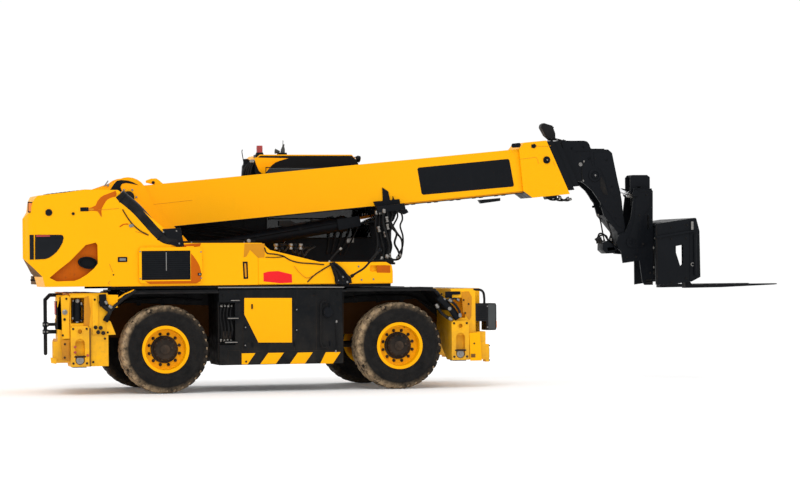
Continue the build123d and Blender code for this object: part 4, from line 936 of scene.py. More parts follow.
# pipes and a valve in the recess behind the rear wheel
for k in range(4):
    x = -0.82 + 0.045 * k
    S.tube([(x, -1.12, 0.66), (x + 0.012, -1.145 - 0.01 * k, 0.82), (x - 0.01, -1.15, 1.0), (x + 0.02, -1.11, 1.15)], 0.014 - 0.002 * (k % 2), RUBBER, 12, 8, ends=ZINC)
S.block(-0.80, -0.68, -1.15, -1.09, 0.70, 0.80, CAST, 0.008)
S.done("right_box_fittings", "chassis")

# ---------------------------------------------------------------- mudguard lips, wheel wells
S = Solid()
for sy in (-1, 1):
    for sx, xe in ((-1, -2.30), (1, 2.28)):
        p = [(sx * 0.86, 1.315), (sx * 2.03, 1.315), (sx * 2.09, 1.295), (xe + (-sx) * 0.004, 1.065)]
        S.tube([(a, sy * 1.188, b - 0.006) for a, b in p], 0.013, RUBBER, 10, 2, smooth=False)
        for k in range(4):
            S.lathe([(0, 0), (0.016, 0), (0.014, 0.003), (0, 0.003)], CAST, (sx * (1.05 + 0.28 * k), sy * 0.55, 1.3462), (0, 0, 1), 14)
            S.lathe([(0, 0), (0.016, 0), (0.014, 0.003), (0, 0.003)], CAST, (sx * (1.05 + 0.28 * k), sy * 1.08, 1.3462), (0, 0, 1), 14)
        # dark deck plate over the mudguard
        S.block(min(sx * 0.86, sx * 2.04), max(sx * 0.86, sx * 2.04), min(sy * 0.42, sy * 1.186), max(sy * 0.42, sy * 1.186), 1.3245, 1.3465, BLACK_DUSTY, 0.004)
        # stiffening swages on the inner liner
        for k in range(3):
            x = sx * (1.15 + 0.32 * k)
            S.block(x - 0.03, x + 0.03, sy * 0.408, sy * 0.424, 1.14, 1.285, PLASTIC, 0.006)
        # service lines along the frame above the wheel
        S.tube([(sx * 0.95, sy * 0.44, 1.20), (sx * 1.4, sy * 0.46, 1.235), (sx * 1.9, sy * 0.45, 1.22), (sx * 2.2, sy * 0.44, 1.08)], 0.016, RUBBER, 10, 8)
S.done("mudguard_fittings", "chassis")

# ---------------------------------------------------------------- rear stabiliser housing, right side
YH = -1.18
S = Solid()
# the housing's side plates; those in YELLOW_SHADE are painted shade
plate(S, [(60.6, 296.4), (66.6, 295.0), (69.8, 297.0), (69.0, 318.0), (69.6, 338.6), (62.4, 338.8), (61.6, 318.0)], YH, 0.018, YELLOW_DIRTY, 0.004)
plate(S, [(84.0, 298.0), (88.4, 296.0), (90.6, 312.0), (88.6, 326.6), (83.8, 327.0)], YH, 0.014, YELLOW_SHADE, 0.004)
plate(S, [(92.0, 296.0), (96.6, 295.4), (98.4, 310.0), (97.4, 334.0), (92.4, 334.6)], YH, 0.016, YELLOW_DIRTY, 0.004)
plate(S, [(104.6, 294.6), (118.0, 294.9), (117.4, 307.6), (106.2, 308.4)], YH, 0.012, YELLOW, 0.004)
plate(S, [(106.0, 320.4), (110.4, 321.0), (115.8, 334.6), (106.2, 335.0)], YH, 0.012, YELLOW_DIRTY, 0.004)
plate(S, [(61.0, 340.4), (69.6, 339.8), (69.8, 361.0), (62.4, 360.4)], YH, 0.012, YELLOW_SHADE, 0.004)
plate(S, [(50.4, 357.4), (56.4, 358.4), (56.2, 364.0), (51.0, 363.0)], YH + 0.02, 0.02, YELLOW_DIRTY, 0.004)
x, z = pix(64.8, 312.2, YH - 0.02)
S.lathe([(0, 0), (0.034, 0), (0.034, 0.012), (0.02, 0.018), (0.02, 0.006), (0, 0.006)], ZINC, (x, YH - 0.018, z), (0, -1, 0), 22)
x, z = pix(64.6, 319.5, YH - 0.02)
S.lathe([(0, 0), (0.017, 0), (0.017, 0.008), (0, 0.008)], BLACK, (x, YH - 0.018, z), (0, -1, 0), 16)
# ram and hoses inside the dark recess
S.tube([(-2.70, -1.10, 0.95), (-2.70, -1.10, 1.24)], 0.052, BLACK, 24, 2, smooth=False)
S.tube([(-2.70, -1.10, 0.945), (-2.70, -1.10, 1.0)], 0.032, CHROME, 20, 2, smooth=False)
S.bolt((-2.70, -1.15, 1.22), (0, -1, 0), 0.036, ZINC)
S.tube([(-2.65, -1.12, 1.20), (-2.62, -1.15, 1.10), (-2.625, -1.14, 0.99), (-2.66, -1.10, 0.95)], 0.013, RUBBER, 12, 8, ends=ZINC)
S.tube([(-2.75, -1.11, 1.24), (-2.765, -1.14, 1.12), (-2.76, -1.12, 0.98)], 0.011, RUBBER, 12, 8, ends=ZINC)
# black fittings and hose that run down beside the mudguard edge
plate(S, [(98.6, 294.4), (105.6, 294.0), (106.0, 301.0), (99.2, 302.4)], YH, 0.055, BLACK, 0.008)
S.tube([(a, YH - 0.035, b) for a, b in pixs([(100.6, 300.6), (102.0, 304.8), (106.0, 308.6), (109.4, 311.8), (107.2, 316.6), (104.8, 321.4)], YH)], 0.026, RUBBER, 16, 8, ends=BLACK)
S.tube([(a, YH - 0.03, b) for a, b in pixs([(104.4, 300.6), (107.0, 305.0), (111.6, 308.0)], YH)], 0.018, RUBBER, 14, 8, ends=ZINC)
S.tube([(a, YH - 0.012, b) for a, b in pixs([(104.2, 320.6), (112.4, 307.8), (124.0, 298.4), (136.0, 290.4)], YH)], 0.021, RUBBER, 12, 2, smooth=False)
S.tube([(a, YH - 0.006, b) for a, b in pixs([(115.0, 300.4), (125.0, 294.2), (134.0, 290.2)], YH)], 0.012, YELLOW, 8, 2, smooth=False)
for a in ((95.4, 327.4), (100.6, 327.8), (98.0, 332.2), (103.2, 333.0)):
    x, z = pix(a[0], a[1], YH)
    S.lathe([(0, 0), (0.026, 0), (0.026, 0.018), (0.016, 0.022), (0.016, 0.036), (0, 0.037)], CAST, (x, YH + 0.001, z), (0, -1, 0), 16)
for a in ((62.6, 335.4), (66.2, 298.8), (94.6, 299.6), (115.2, 305.4), (107.6, 332.4), (64.8, 344.2), (64.6, 357.6), (93.2, 362.0), (104.8, 338.6)):
    x, z = pix(a[0], a[1], YH)
    S.bolt((x, YH - 0.0175 if a[0] < 70 and a[1] < 339 else YH - 0.0155 if 92 < a[0] < 98 and a[1] < 335 else YH - 0.0118, z), (0, -1, 0), 0.02, CAST)
# clamp of the grab rail
for z in (0.825, 0.92):
    S.block(-3.135, -3.06, -1.03, -0.97, z - 0.03, z + 0.03, BLACK, 0.008)
    for dx in (-3.12, -3.078):
        S.bolt((dx, -1.0295, z), (0, -1, 0), 0.018, STEEL)
S.prism([(-2.99, 0.86), (-2.965, 1.12), (-2.93, 1.27), (-2.90, 1.29), (-2.90, 0.84)], -1.135, -1.15, CAST, "xz", 0.004)
# rear face: lamps, blank plate, reflectors, tread plate on top
for sy in (-1, 1):
    x = -2.9635 if sy < 0 else -2.806
    if sy < 0:
        S.block(-2.975, -2.955, -1.14, -1.01, 1.04, 1.22, BLACK, 0.008)
        S.block(-2.990, -2.972, -1.13, -1.075, 1.05, 1.21, RED_LENS, 0.008, 3)
        S.block(-2.990, -2.972, -1.070, -1.02, 1.05, 1.21, AMBER_LENS, 0.008, 3)
S.prism([(-2.795, 0.42), (-2.790, 0.30), (-2.775, 0.30), (-2.780, 0.42)], 1.04, 1.20, BLACK, "xy", 0.004)
S.prism([(-2.772, 0.62), (-2.750, 0.74), (-2.762, 0.745), (-2.785, 0.625)], 1.04, 1.20, RED_LENS, "xy", 0.004)
S.prism([(-2.749, 0.75), (-2.728, 0.87), (-2.741, 0.875), (-2.762, 0.755)], 1.04, 1.20, AMBER_LENS, "xy", 0.004)
S.prism([(-2.906, -0.50), (-2.866, -0.18), (-2.873, -0.175), (-2.913, -0.495)], 0.86, 0.98, BLACK_DUSTY, "xy", 0.002)
for i in range(12):
    for j in range(3):
        x, y = -2.72 + 0.13 * j, -0.95 + 0.17 * i
        S.prism([(x - 0.03, y), (x, y + 0.011), (x + 0.03, y), (x, y - 0.011)], 1.319, 1.324, STEEL, "xy", 0.001)
S.done("rear_frame_fittings", "chassis")

# ---------------------------------------------------------------- front housing
S = Solid()
plate(S, [(445.0, 291.6), (451.6, 291.4), (451.8, 298.0), (445.2, 298.2)], YH, 0.02, BLACK, 0.005)
plate(S, [(451.8, 291.4), (460.2, 291.4), (460.2, 294.4), (451.8, 294.8)], YH, 0.016, BLACK, 0.005)
# painted shade: a shaded yellow plate at the upper corner
plate(S, [(461.6, 292.0), (468.8, 291.4), (471.6, 296.6), (471.2, 316.0), (469.4, 320.0), (462.6, 312.0)], YH, 0.008, YELLOW_SHADE, 0.003)
S.tube([(a, YH - 0.04, b) for a, b in pixs([(437.6, 297.0), (443.4, 302.4), (450.4, 309.0), (457.0, 318.6)], YH)], 0.046, BLACK, 22, 6)
S.tube([(a, YH - 0.02, b) for a, b in pixs([(435.6, 304.0), (440.4, 312.0), (446.0, 316.8), (452.0, 319.4)], YH)], 0.020, RUBBER, 14, 8, ends=ZINC)
S.tube([(a, YH - 0.085, b) for a, b in pixs([(447.0, 299.4), (453.4, 304.4), (457.6, 311.0), (458.4, 317.0)], YH)], 0.017, RUBBER, 14, 8, ends=ZINC)
S.tube([(a, YH - 0.06, b) for a, b in pixs([(441.6, 299.0), (447.0, 300.0), (453.4, 298.4), (458.0, 300.4)], YH)], 0.013, RUBBER, 12, 8, ends=ZINC)
x, z = pix(449.6, 308.6, YH - 0.09)
S.lathe([(0, 0), (0.024, 0), (0.024, 0.01), (0, 0.011)], ZINC, (x, YH - 0.086, z), (0, -1, 0), 18)
for a in ((463.4, 300.0), (468.4, 304.0), (465.0, 313.0), (441.6, 294.0)):
    x, z = pix(a[0], a[1], YH)
    S.bolt((x, YH - 0.0078, z), (0, -1, 0), 0.018, CAST)
# rounded rubber guard at the top corner, and the lamps' glass
S.tube([(2.60, -1.165, 1.305), (2.69, -1.165, 1.30), (2.735, -1.165, 1.265), (2.748, -1.165, 1.19), (2.748, -1.165, 1.12)], 0.016, RUBBER, 14, 8)
for sy in (-1, 1):
    a, b = sorted((sy * 0.915, sy * 1.155))
    for z0, z1, m in ((0.79, 0.885, AMBER_LENS), (0.895, 1.095, CLEAR_LENS)):
        S.block(2.903, 2.924, a, b, z0, z1, m, 0.01, 3)
    S.block(2.909, 2.918, a + 0.01, b - 0.01, 0.885, 0.895, BLACK, 0.002)
    yl, yh = sorted((sy * 1.163, sy * 1.1705))
    S.block(2.80, 2.898, yl, yh, 0.775, 1.105, GREY_FILM, 0.003)
    for k in range(7):
        z = 0.90 + 0.028 * k
        yl, yh = sorted((sy * 1.163, sy * 1.169))
        S.block(2.65, 2.785, yl, yh, z, z + 0.010, BLACK, 0.002)
    for dz in (0.80, 1.08):
        S.bolt((2.79, sy * 1.1655, dz), (0, sy, 0), 0.014, ZINC)
# front face: cover plate with bolts, towing eye's keeper and pin, blank number plate
S.block(2.755, 2.762, -0.55, 0.55, 0.98, 1.24, YELLOW_DIRTY, 0.003)
for y in (-0.5, -0.25, 0, 0.25, 0.5):
    for z in (1.01, 1.21):
        S.bolt((2.7615, y, z), (1, 0, 0), 0.022, CAST)
S.block(2.761, 2.767, -0.24, 0.24, 1.055, 1.165, GREY_FILM, 0.002)
S.lathe([(0, 0), (0.0245, 0), (0.0245, 0.165), (0.0, 0.17)], STEEL, (2.91, 0, 0.782), (0, 0, 1), 24)
S.lathe([(0.0, 0.0), (0.04, 0.0), (0.04, 0.014), (0.0, 0.014)], STEEL, (2.91, 0, 0.921), (0, 0, 1), 24)
for i in range(12):
    for j in range(3):
        x, y = 2.37 + 0.13 * j, -0.95 + 0.17 * i
        S.prism([(x - 0.03, y), (x, y + 0.011), (x + 0.03, y), (x, y - 0.011)], 1.319, 1.324, STEEL, "xy", 0.001)
S.done("front_frame_fittings", "chassis")

# ---------------------------------------------------------------- stabiliser end plates: rollers, pins, pads
for tag, xc, sy in (("rr", -2.68, -1), ("rl", -2.50, 1), ("fr", 2.40, -1), ("fl", 2.54, 1)):
    S = Solid()
    yo = sy * 1.222
    S.lathe([(0, 0), (0.050, 0), (0.054, 0.006), (0.054, 0.038), (0.050, 0.044), (0.018, 0.044), (0.016, 0.05), (0, 0.05)], ZINC, (xc, sy * 1.165, 0.452), (0, sy, 0), 30)
    S.tube([(xc - 0.075, sy * 1.214, 0.50), (xc + 0.075, sy * 1.214, 0.50)], 0.013, CAST, 12, 2, smooth=False)
    for dx in (-0.088, 0.088):
        for z in (0.415, 0.86):
            S.bolt((xc + dx, yo - sy * 0.0004, z), (0, sy, 0), 0.021, CAST)
    S.lathe([(0.030, 0), (0.042, 0), (0.042, 0.006), (0.030, 0.006), (0.030, 0)], YELLOW_DIRTY, (xc, yo - sy * 0.001, 0.825), (0, sy, 0), 28)
    # ribbed pad under the foot
    for k in range(5):
        y = sy * (1.0 + 0.042 * k)
        S.prism([(y - 0.014, 0.371), (y + 0.014, 0.371), (y + 0.009, 0.358), (y - 0.009, 0.358)], xc - 0.088, xc + 0.088, CAST, "yz", 0.002)
    if tag == "fr":
        S.prism([pix(*p, -1.222) for p in ((469.4, 333.0), (480.0, 332.2), (481.8, 360.6), (470.4, 360.8))], -1.214, -1.226, YELLOW, "xz", 0.003)
        x, z = pix(474.2, 343.4, -1.226)
        S.lathe([(0, 0), (0.012, 0), (0.012, 0.005), (0, 0.006)], CAST, (x, -1.2255, z), (0, -1, 0), 14)
        x, z = pix(473.2, 355.6, -1.226)
        S.block(x - 0.03, x + 0.03, -1.232, -1.224, z - 0.024, z + 0.024, RUST_AND_SHADE, 0.003)
    if tag == "rr":
        S.prism([pix(*p, -1.222) for p in ((88.6, 328.0), (91.0, 328.2), (91.2, 366.6), (88.8, 366.8))], -1.19, -1.212, RUST_AND_SHADE, "xz", 0.002)
        for q in ((87.6, 355.4), (75.0, 347.0), (75.0, 352.4)):
            x, z = pix(q[0], q[1], -1.222)
            S.lathe([(0, 0), (0.016, 0), (0.016, 0.02), (0.01, 0.024), (0, 0.024)], RED_LENS, (x, -1.2215, z), (0, -1, 0), 16)
    S.done("stabiliser_fittings_" + tag, "stabiliser_" + tag)
S = Solid()
for a, b in ((1.035, 0.36), (1.17, 0.36), (1.035, 0.555), (1.17, 0.555)):
    S.bolt((2.8048, -a, b), (1, 0, 0), 0.018, CAST)
    S.bolt((2.8048, a, b), (1, 0, 0), 0.018, CAST)
for sy in (-1, 1):
    y0, y1 = sorted((sy * 1.04, sy * 1.165))
    S.block(2.803, 2.813, y0, y1, 0.39, 0.53, BLACK, 0.004)
S.done("bumper_pads", "chassis")

# ---------------------------------------------------------------- goose-neck head
HEADG = plastic("worn_black_enamel", (0.007, 0.0085, 0.011), 0.5, 0.25, 160.0, 0.35)
S = Solid()
for sy in (-1, 1):
    yf = sy * 0.17
    Pf = lambda pts: pixs(pts, -0.17)
    # doubler on the arm, ring boss, pins, the dark slot beside it
    D = Pf([(593.6, 152.4), (609.4, 152.4), (612.6, 156.2), (617.4, 180.0), (620.8, 194.0), (614.0, 196.6), (608.2, 191.0), (604.6, 178.0), (600.0, 169.0), (594.6, 166.0)])
    a, b = sorted((yf - sy * 0.002, yf + sy * 0.0045))
    S.prism(D, a, b, BLACK, "xz", 0.0015)
    E = Pf([(600.6, 176.0), (604.0, 181.0), (606.4, 189.0), (607.8, 195.0), (604.0, 194.4), (600.8, 189.0), (600.0, 181.0)])
    S.prism(E, a, b, CAST, "xz", 0.0015)
    G = Pf([(590.6, 186.0), (598.0, 189.0), (604.4, 197.0), (615.0, 198.0), (619.6, 202.0), (623.0, 215.0), (625.4, 229.0), (617.6, 226.0), (607.8, 212.0), (597.6, 199.0)])
    a, b = sorted((yf - sy * 0.002, yf + sy * 0.0052))
    S.prism(G, a, b, BLACK, "xz", 0.0018)
    x, z = pix(594.6, 175.4, -0.17)
    S.lathe([(0.0, 0), (0.088, 0), (0.088, 0.010), (0.080, 0.016), (0.058, 0.016), (0.055, 0.006), (0.042, 0.006), (0.040, 0.020), (0.018, 0.024), (0, 0.024)], BLACK, (x, yf - sy * 0.001, z), (0, sy, 0), 40)
    S.bolt((x, yf + sy * 0.022, z), (0, sy, 0), 0.026, STEEL, washer=False)
    for q, r in (((580.4, 164.4), 0.026), ((589.0, 158.6), 0.014), ((606.4, 160.0), 0.014), ((612.0, 186.8), 0.014), ((600.6, 206.2), 0.017), ((615.0, 218.2), 0.017), ((583.4, 147.2), 0.012), ((571.8, 148.4), 0.012)):
        x, z = pix(q[0], q[1], -0.17)
        S.lathe([(0, 0), (r, 0), (r, 0.011), (r * 0.7, 0.015), (r * 0.5, 0.010), (0, 0.010)], STEEL if r > 0.02 else BLACK, (x, yf - sy * 0.001, z), (0, sy, 0), 24)
    # weld beads along the tube and the upper web
    S.tube([(a_, yf + sy * 0.001, b_) for a_, b_ in Pf([(574.6, 151.6), (581, 151.2), (588.6, 151.0)])], 0.006, BLACK, 8, 3)
    S.tube([(a_, yf + sy * 0.001, b_) for a_, b_ in Pf([(590.2, 150.4), (590.6, 157.0), (592.6, 166.0)])], 0.005, BLACK, 8, 4)
    S.tube([(a_, yf + sy * 0.003, b_) for a_, b_ in Pf([(584.0, 160.6), (581.6, 172.0), (583.4, 181.6)])], 0.009, RUBBER, 10, 6, ends=ZINC)
    # pivot cap with its keeper plate
    S.lathe([(0, 0), (0.105, 0), (0.105, 0.006), (0.0, 0.007)], BLACK, (5.12, yf - sy * 0.002, 1.92), (0, sy, 0), 40)
# hose that hangs from the head to the coupler, and the coupler block
S.tube([(4.756, 0.10, 2.325), (4.786, 0.10, 2.22), (4.812, 0.10, 2.08), (4.838, 0.10, 1.945)], 0.010, RUBBER, 12, 8, ends=ZINC)
S.tube([(4.80, -0.10, 2.31), (4.82, -0.12, 2.20), (4.862, -0.12, 2.06), (4.872, -0.10, 1.95)], 0.012, RUBBER, 12, 8, ends=ZINC)
LUMP = pixs([(600.6, 243.2), (604.8, 240.8), (609.6, 243.6), (613.8, 249.6), (612.0, 253.2), (604.4, 253.6), (600.4, 250.0)], -0.02)
S.prism(LUMP, -0.13, 0.13, BLACK, "xz", 0.008)
S.prism([(4.80, 1.86), (4.99, 1.87), (5.0, 1.83), (4.81, 1.80)], -0.13, 0.13, BLACK, "xz", 0.006)
for k, y in enumerate((-0.105, -0.045, 0.02, 0.08)):
    S.lathe([(0, 0), (0.024, 0), (0.024, 0.014), (0.017, 0.02), (0.017, 0.05), (0.022, 0.054), (0.022, 0.072), (0, 0.074)], CAST, (4.74, y, 1.93 - 0.01 * (k % 2)), (-0.5, 0, 1), 12)
S.tube([(4.70, -0.10, 1.98), (4.71, -0.12, 2.02), (4.79, -0.12, 2.02), (4.83, -0.10, 1.95)], 0.012, RUBBER, 12, 8)
S.tube([(4.72, 0.04, 1.99), (4.74, 0.0, 2.05), (4.80, -0.03, 2.03), (4.86, -0.04, 1.93)], 0.012, RUBBER, 12, 8)
# pipes on the head's top web
for y in (-0.09, -0.045, 0.05):
    S.tube([(4.17, y, 3.333), (4.35, y, 3.331), (4.51, y, 3.329), (4.565, y, 3.29), (4.592, y, 3.227), (4.66, y, 3.222), (4.79, y, 3.221)], 0.007, BLACK, 10, 4)
S.done("head_fittings", "boom_stage_4")

# work lamp: ribbed body, glass and stalk
S = Solid()
L = pixs([(540.6, 124.6), (543.0, 124.2), (551.6, 126.4), (551.4, 129.6), (549.2, 131.2), (553.4, 138.0), (549.6, 138.8), (545.4, 131.6)], -0.066)
a0 = Vector((3.90, 0, 3.575))
for k in range(6):
    x = 3.93 + 0.028 * k
    z = 3.575 - 0.33 * (x - 3.90)
    S.prism([(x - 0.004, z - 0.002), (x + 0.004, z - 0.004), (x + 0.004, z + 0.012), (x - 0.004, z + 0.014)], -0.06, 0.06, PLASTIC, "xz", 0.001)
S.prism([(3.894, 3.530), (3.900, 3.556), (3.922, 3.520), (3.955, 3.430), (3.945, 3.425), (3.90, 3.505)], -0.052, 0.052, CLEAR_LENS, "xz", 0.003)
S.tube([(4.05, 0.031, 3.36), (4.12, 0.036, 3.372), (4.2, 0.034, 3.356)], 0.006, RUBBER, 8, 6)
for y in (-0.029, 0.029):
    S.bolt((4.05, y, 3.38), (0, 1 if y > 0 else -1, 0), 0.016, ZINC)
for x in (4.19, 4.232):
    S.bolt((x, 0.0, 3.3502), (0, 0, 1), 0.014, ZINC)
S.done("work_light_fittings", "boom_stage_4")

# ---------------------------------------------------------------- quick hitch, carriage and forks
S = Solid()
for sy in (-1, 1):
    yf = sy * 0.208
    a, b = sorted((yf - sy * 0.002, yf + sy * 0.006))
    S.prism([(5.20, 2.60), (5.40, 2.62), (5.395, 2.36), (5.345, 2.34), (5.34, 2.10), (5.30, 1.86), (5.16, 1.85), (5.10, 1.98), (5.18, 2.24)], a, b, BLACK, "xz", 0.002)
    S.lathe([(0, 0), (0.062, 0), (0.066, 0.008), (0.060, 0.014), (0.030, 0.014), (0.028, 0.008), (0, 0.008)], BLACK, (5.12, sy * 0.2155, 1.92), (0, sy, 0), 36)
    S.block(5.10, 5.14, *sorted((sy * 0.222, sy * 0.232)), 1.905, 1.935, BLACK, 0.003)
    S.lathe([(0, 0), (0.045, 0), (0.045, 0.010), (0.03, 0.014), (0, 0.014)], BLACK, (5.20, sy * 0.2135, 2.60), (0, sy, 0), 30)
    for x, z in ((5.36, 2.58), (5.30, 1.90), (5.20, 1.72), (5.06, 1.72), (5.40, 1.50), (5.41, 1.40), (5.25, 2.30)):
        if sy < 0 or z > 1.8:
            S.bolt((x, yf + sy * (0.0055 if z > 1.84 else -0.0002), z), (0, sy, 0), 0.022, CAST)
    S.tube([(x, yf + sy * 0.002, z) for x, z in ((5.18, 2.665), (5.29, 2.672), (5.41, 2.664))], 0.006, BLACK, 8, 3)
# hydraulic couplings behind the hook, locking pins low on the back plate
for k, (x, z) in enumerate(((5.07, 2.555), (5.11, 2.585), (5.15, 2.55))):
    S.lathe([(0, 0), (0.021, 0), (0.021, 0.014), (0.015, 0.018), (0.015, 0.036), (0.021, 0.04), (0.021, 0.06), (0, 0.062)], ZINC, (x - 0.0 + 0.10, -0.108 + 0.016 * k, z), (-1, 0, 0.15), 12)
S.tube([(5.17, -0.100, 2.56), (5.17, -0.105, 2.50), (5.19, -0.107, 2.40), (5.22, -0.110, 2.32)], 0.012, RUBBER, 12, 8)
S.tube([(5.22, -0.085, 2.57), (5.215, -0.09, 2.46), (5.24, -0.10, 2.36), (5.29, -0.105, 2.24)], 0.012, RUBBER, 12, 8)
for sy in (-1, 1):
    S.lathe([(0, 0), (0.030, 0), (0.034, 0.006), (0.034, 0.03), (0.018, 0.036), (0.018, 0.09), (0, 0.09)], CAST, (5.475, sy * 0.18, 1.50), (0, sy, 0), 24)
    S.block(5.442, 5.51, *sorted((sy * 0.182, sy * 0.20)), 1.455, 1.545, BLACK, 0.006)
    S.tube([(5.46, sy * 0.19, 1.56), (5.47, sy * 0.20, 1.70), (5.46, sy * 0.19, 1.86)], 0.010, RUBBER, 10, 8, ends=ZINC)
for z in (1.36, 1.395):
    S.tube([(5.335, -0.214, z), (5.38, -0.216, z + 0.004), (5.425, -0.214, z)], 0.009, CAST, 10, 6)
S.done("hitch_fittings", "carriage")

S = Solid()
for sy in (-1, 1):
    yf = sy * 0.75
    o1, o2 = sorted((yf - sy * 0.001, yf + sy * 0.007))
    # shelf line, doubler at the front with its upright tube, tag and hole
    xe = 5.485 if sy > 0 else 5.31
    S.prism([(xe, 2.00 - (5.485 - xe) * 0.15), (5.72, 2.035), (5.86, 2.055), (5.86, 2.085), (5.72, 2.065), (xe, 2.03 - (5.485 - xe) * 0.15)], *sorted((yf, yf + sy * 0.026)), BLACK, "xz", 0.005)
    S.tube([(xe + 0.008, yf + sy * 0.004, 1.36), (xe + 0.008, yf + sy * 0.004, 2.15)], 0.007, CAST, 10, 2, smooth=False)
    S.prism([(5.79, 1.39), (5.93, 1.445), (5.925, 2.06), (5.885, 2.215), (5.80, 2.20)], o1, o2, BLACK, "xz", 0.002)
    S.tube([(5.868, yf + sy * 0.020, 1.46), (5.866, yf + sy * 0.020, 2.02)], 0.022, BLACK, 18, 2, smooth=False)
    S.block(5.815, 5.845, *sorted((yf + sy * 0.006, yf + sy * 0.018)), 2.085, 2.20, ZINC, 0.004)
    for k in range(5):
        S.block(5.812, 5.848, *sorted((yf + sy * 0.016, yf + sy * 0.021)), 2.092 + 0.022 * k, 2.102 + 0.022 * k, ZINC, 0.001)
    S.lathe([(0.016, 0), (0.026, 0), (0.026, 0.006), (0.016, 0.006), (0.016, 0)], STEEL, (5.83, yf + sy * 0.006, 1.61), (0, sy, 0), 24)
    for x, z in ((5.53, 1.37), (5.53, 1.96), (5.74, 1.42), (5.74, 1.97), (5.53, 2.12), (5.76, 2.15)):
        S.bolt((x, yf - sy * 0.0002, z), (0, sy, 0), 0.02, CAST)
    # fork keepers, side shift rod and stops
    S.block(5.745, 5.80, *sorted((sy * 0.46, sy * 0.64)), 2.111, 2.135, BLACK, 0.006)
    S.tube([(5.80, sy * 0.52, 2.13), (5.81, sy * 0.55, 2.15), (5.80, sy * 0.58, 2.13)], 0.007, STEEL, 10, 6)
    for z in (1.40, 2.0):
        S.lathe([(0.0, -0.09), (0.030, -0.09), (0.030, 0.09), (0, 0.09)], BLACK, (5.735, sy * 0.55, z + 0.1), (0, 1, 0), 20)
    S.tube([(5.735, sy * 0.24, 2.02), (5.735, sy * 0.72, 2.02)], 0.018, CHROME, 18, 2, smooth=False)
    S.tube([(5.735, sy * 0.24, 2.02), (5.735, sy * 0.45, 2.02)], 0.032, BLACK, 20, 2, smooth=False)
for y in (-0.6, -0.3, 0, 0.3, 0.6):
    S.bolt((5.69, y, 2.11), (-1, 0, 0), 0.02, CAST)
    S.bolt((5.69, y, 1.41), (-1, 0, 0), 0.02, CAST)
S.tube([(5.48, -0.18, 1.98), (5.55, -0.30, 1.92), (5.66, -0.36, 1.86), (5.71, -0.34, 1.78)], 0.012, RUBBER, 12, 8, ends=ZINC)
S.tube([(5.48, 0.16, 1.98), (5.57, 0.28, 1.90), (5.66, 0.34, 1.86), (5.71, 0.34, 1.78)], 0.012, RUBBER, 12, 8, ends=ZINC)
# welded rubbing strips on the forks' heels
for sy in (-1, 1):
    for dy in (-0.05, 0.05):
        S.prism([(5.86, 1.335), (6.05, 1.335), (6.04, 1.3395), (5.87, 1.3395)], sy * 0.55 + dy - 0.012, sy * 0.55 + dy + 0.012, STEEL, "xz", 0.001)
S.done("carriage_fittings", "carriage")

# ================================================================ dark wall between the boom and the cab
S = Solid()
WALL = [(-1.50, 1.955), (-0.335, 1.955), (-0.17, 1.86), (-0.062, 1.83), (-0.062, 2.52), (-1.50, 2.44)]
S.prism(WALL, 0.3035, 0.3275, BLACK, "xz", 0.006)
for k in range(7):
    x = -1.36 + 0.19 * k
    S.block(x - 0.012, x + 0.012, 0.298, 0.305, 1.98, 2.40, BLACK, 0.003)
for k in range(9):
    S.bolt((-1.44 + 0.16 * k, 0.303, 1.985), (0, -1, 0), 0.018, BLACK_DUSTY)
# hoses that lie along the wall and drop behind the pod
for k in range(4):
    z = 2.05 + 0.045 * k
    S.tube([(-1.46, 0.285, z + 0.12), (-1.0, 0.288, z + 0.05), (-0.5, 0.286, z), (-0.1, 0.290, z - 0.06)], 0.016, RUBBER, 12, 8)
# black cladding on the cab's right side below the window, with two grey panels that are painted reflections, and bright
# brackets
YW = 0.338
for q, m in ((((278.6, 220.8), (290, 220.4), (296, 223.6), (307.4, 221.0), (303, 226.0), (294, 227.6), (279, 225.8)), GREY_FILM),
             (((311.2, 219.4), (330.4, 221.4), (330.2, 228.4), (312.0, 226.4)), GREY_FILM), (((346.4, 238.6), (353.8, 238.0), (354.0, 242.4), (347.0, 243.0)), ZINC)):
    S.prism(pixs(q, 0.331), 0.327, 0.342, m, "xz", 0.002)
for a in (362.2, 364.6, 367.0):
    x, z = pix(a, 218.8, 0.32)
    S.tube([(x, 0.322, z - 0.075), (x, 0.318, z), (x + 0.004, 0.322, z + 0.075)], 0.007, STEEL, 8, 4)
for k in range(5):
    x = 0.95 + 0.10 * k
    S.tube([(x, 0.33, 2.30), (x + 0.01, 0.315, 2.18), (x - 0.02 * k, 0.315, 1.98), (x - 0.04 * k - 0.02, 0.325, 1.80)], 0.012, RUBBER, 10, 8, ends=CAST)
S.tube([(0.25, 0.330, 1.72), (0.27, 0.322, 1.86), (0.34, 0.322, 1.98), (0.40, 0.330, 2.10)], 0.008, STEEL, 8, 8)
S.done("boom_side_cladding", "turret")

# ================================================================ cab
S = Solid()
# yellow roof skin and rear quarter panel
ROOF = [(0.015, 3.147), (1.295, 3.147), (1.345, 3.098), (1.35, 3.112), (1.298, 3.166), (0.02, 3.168), (-0.045, 3.11), (-0.04, 3.10)]
S.prism(ROOF, 0.355, 1.21, YELLOW, "xz", 0.006)
S.prism(pixs([(254.2, 157.6), (288.4, 158.2), (281.0, 160.4), (275.4, 162.4), (271.2, 165.8), (267.4, 170.6), (265.0, 174.0), (262.4, 174.0), (259.0, 171.0), (256.0, 164.4)], 0.34), 0.334, 0.345, YELLOW, "xz", 0.002)
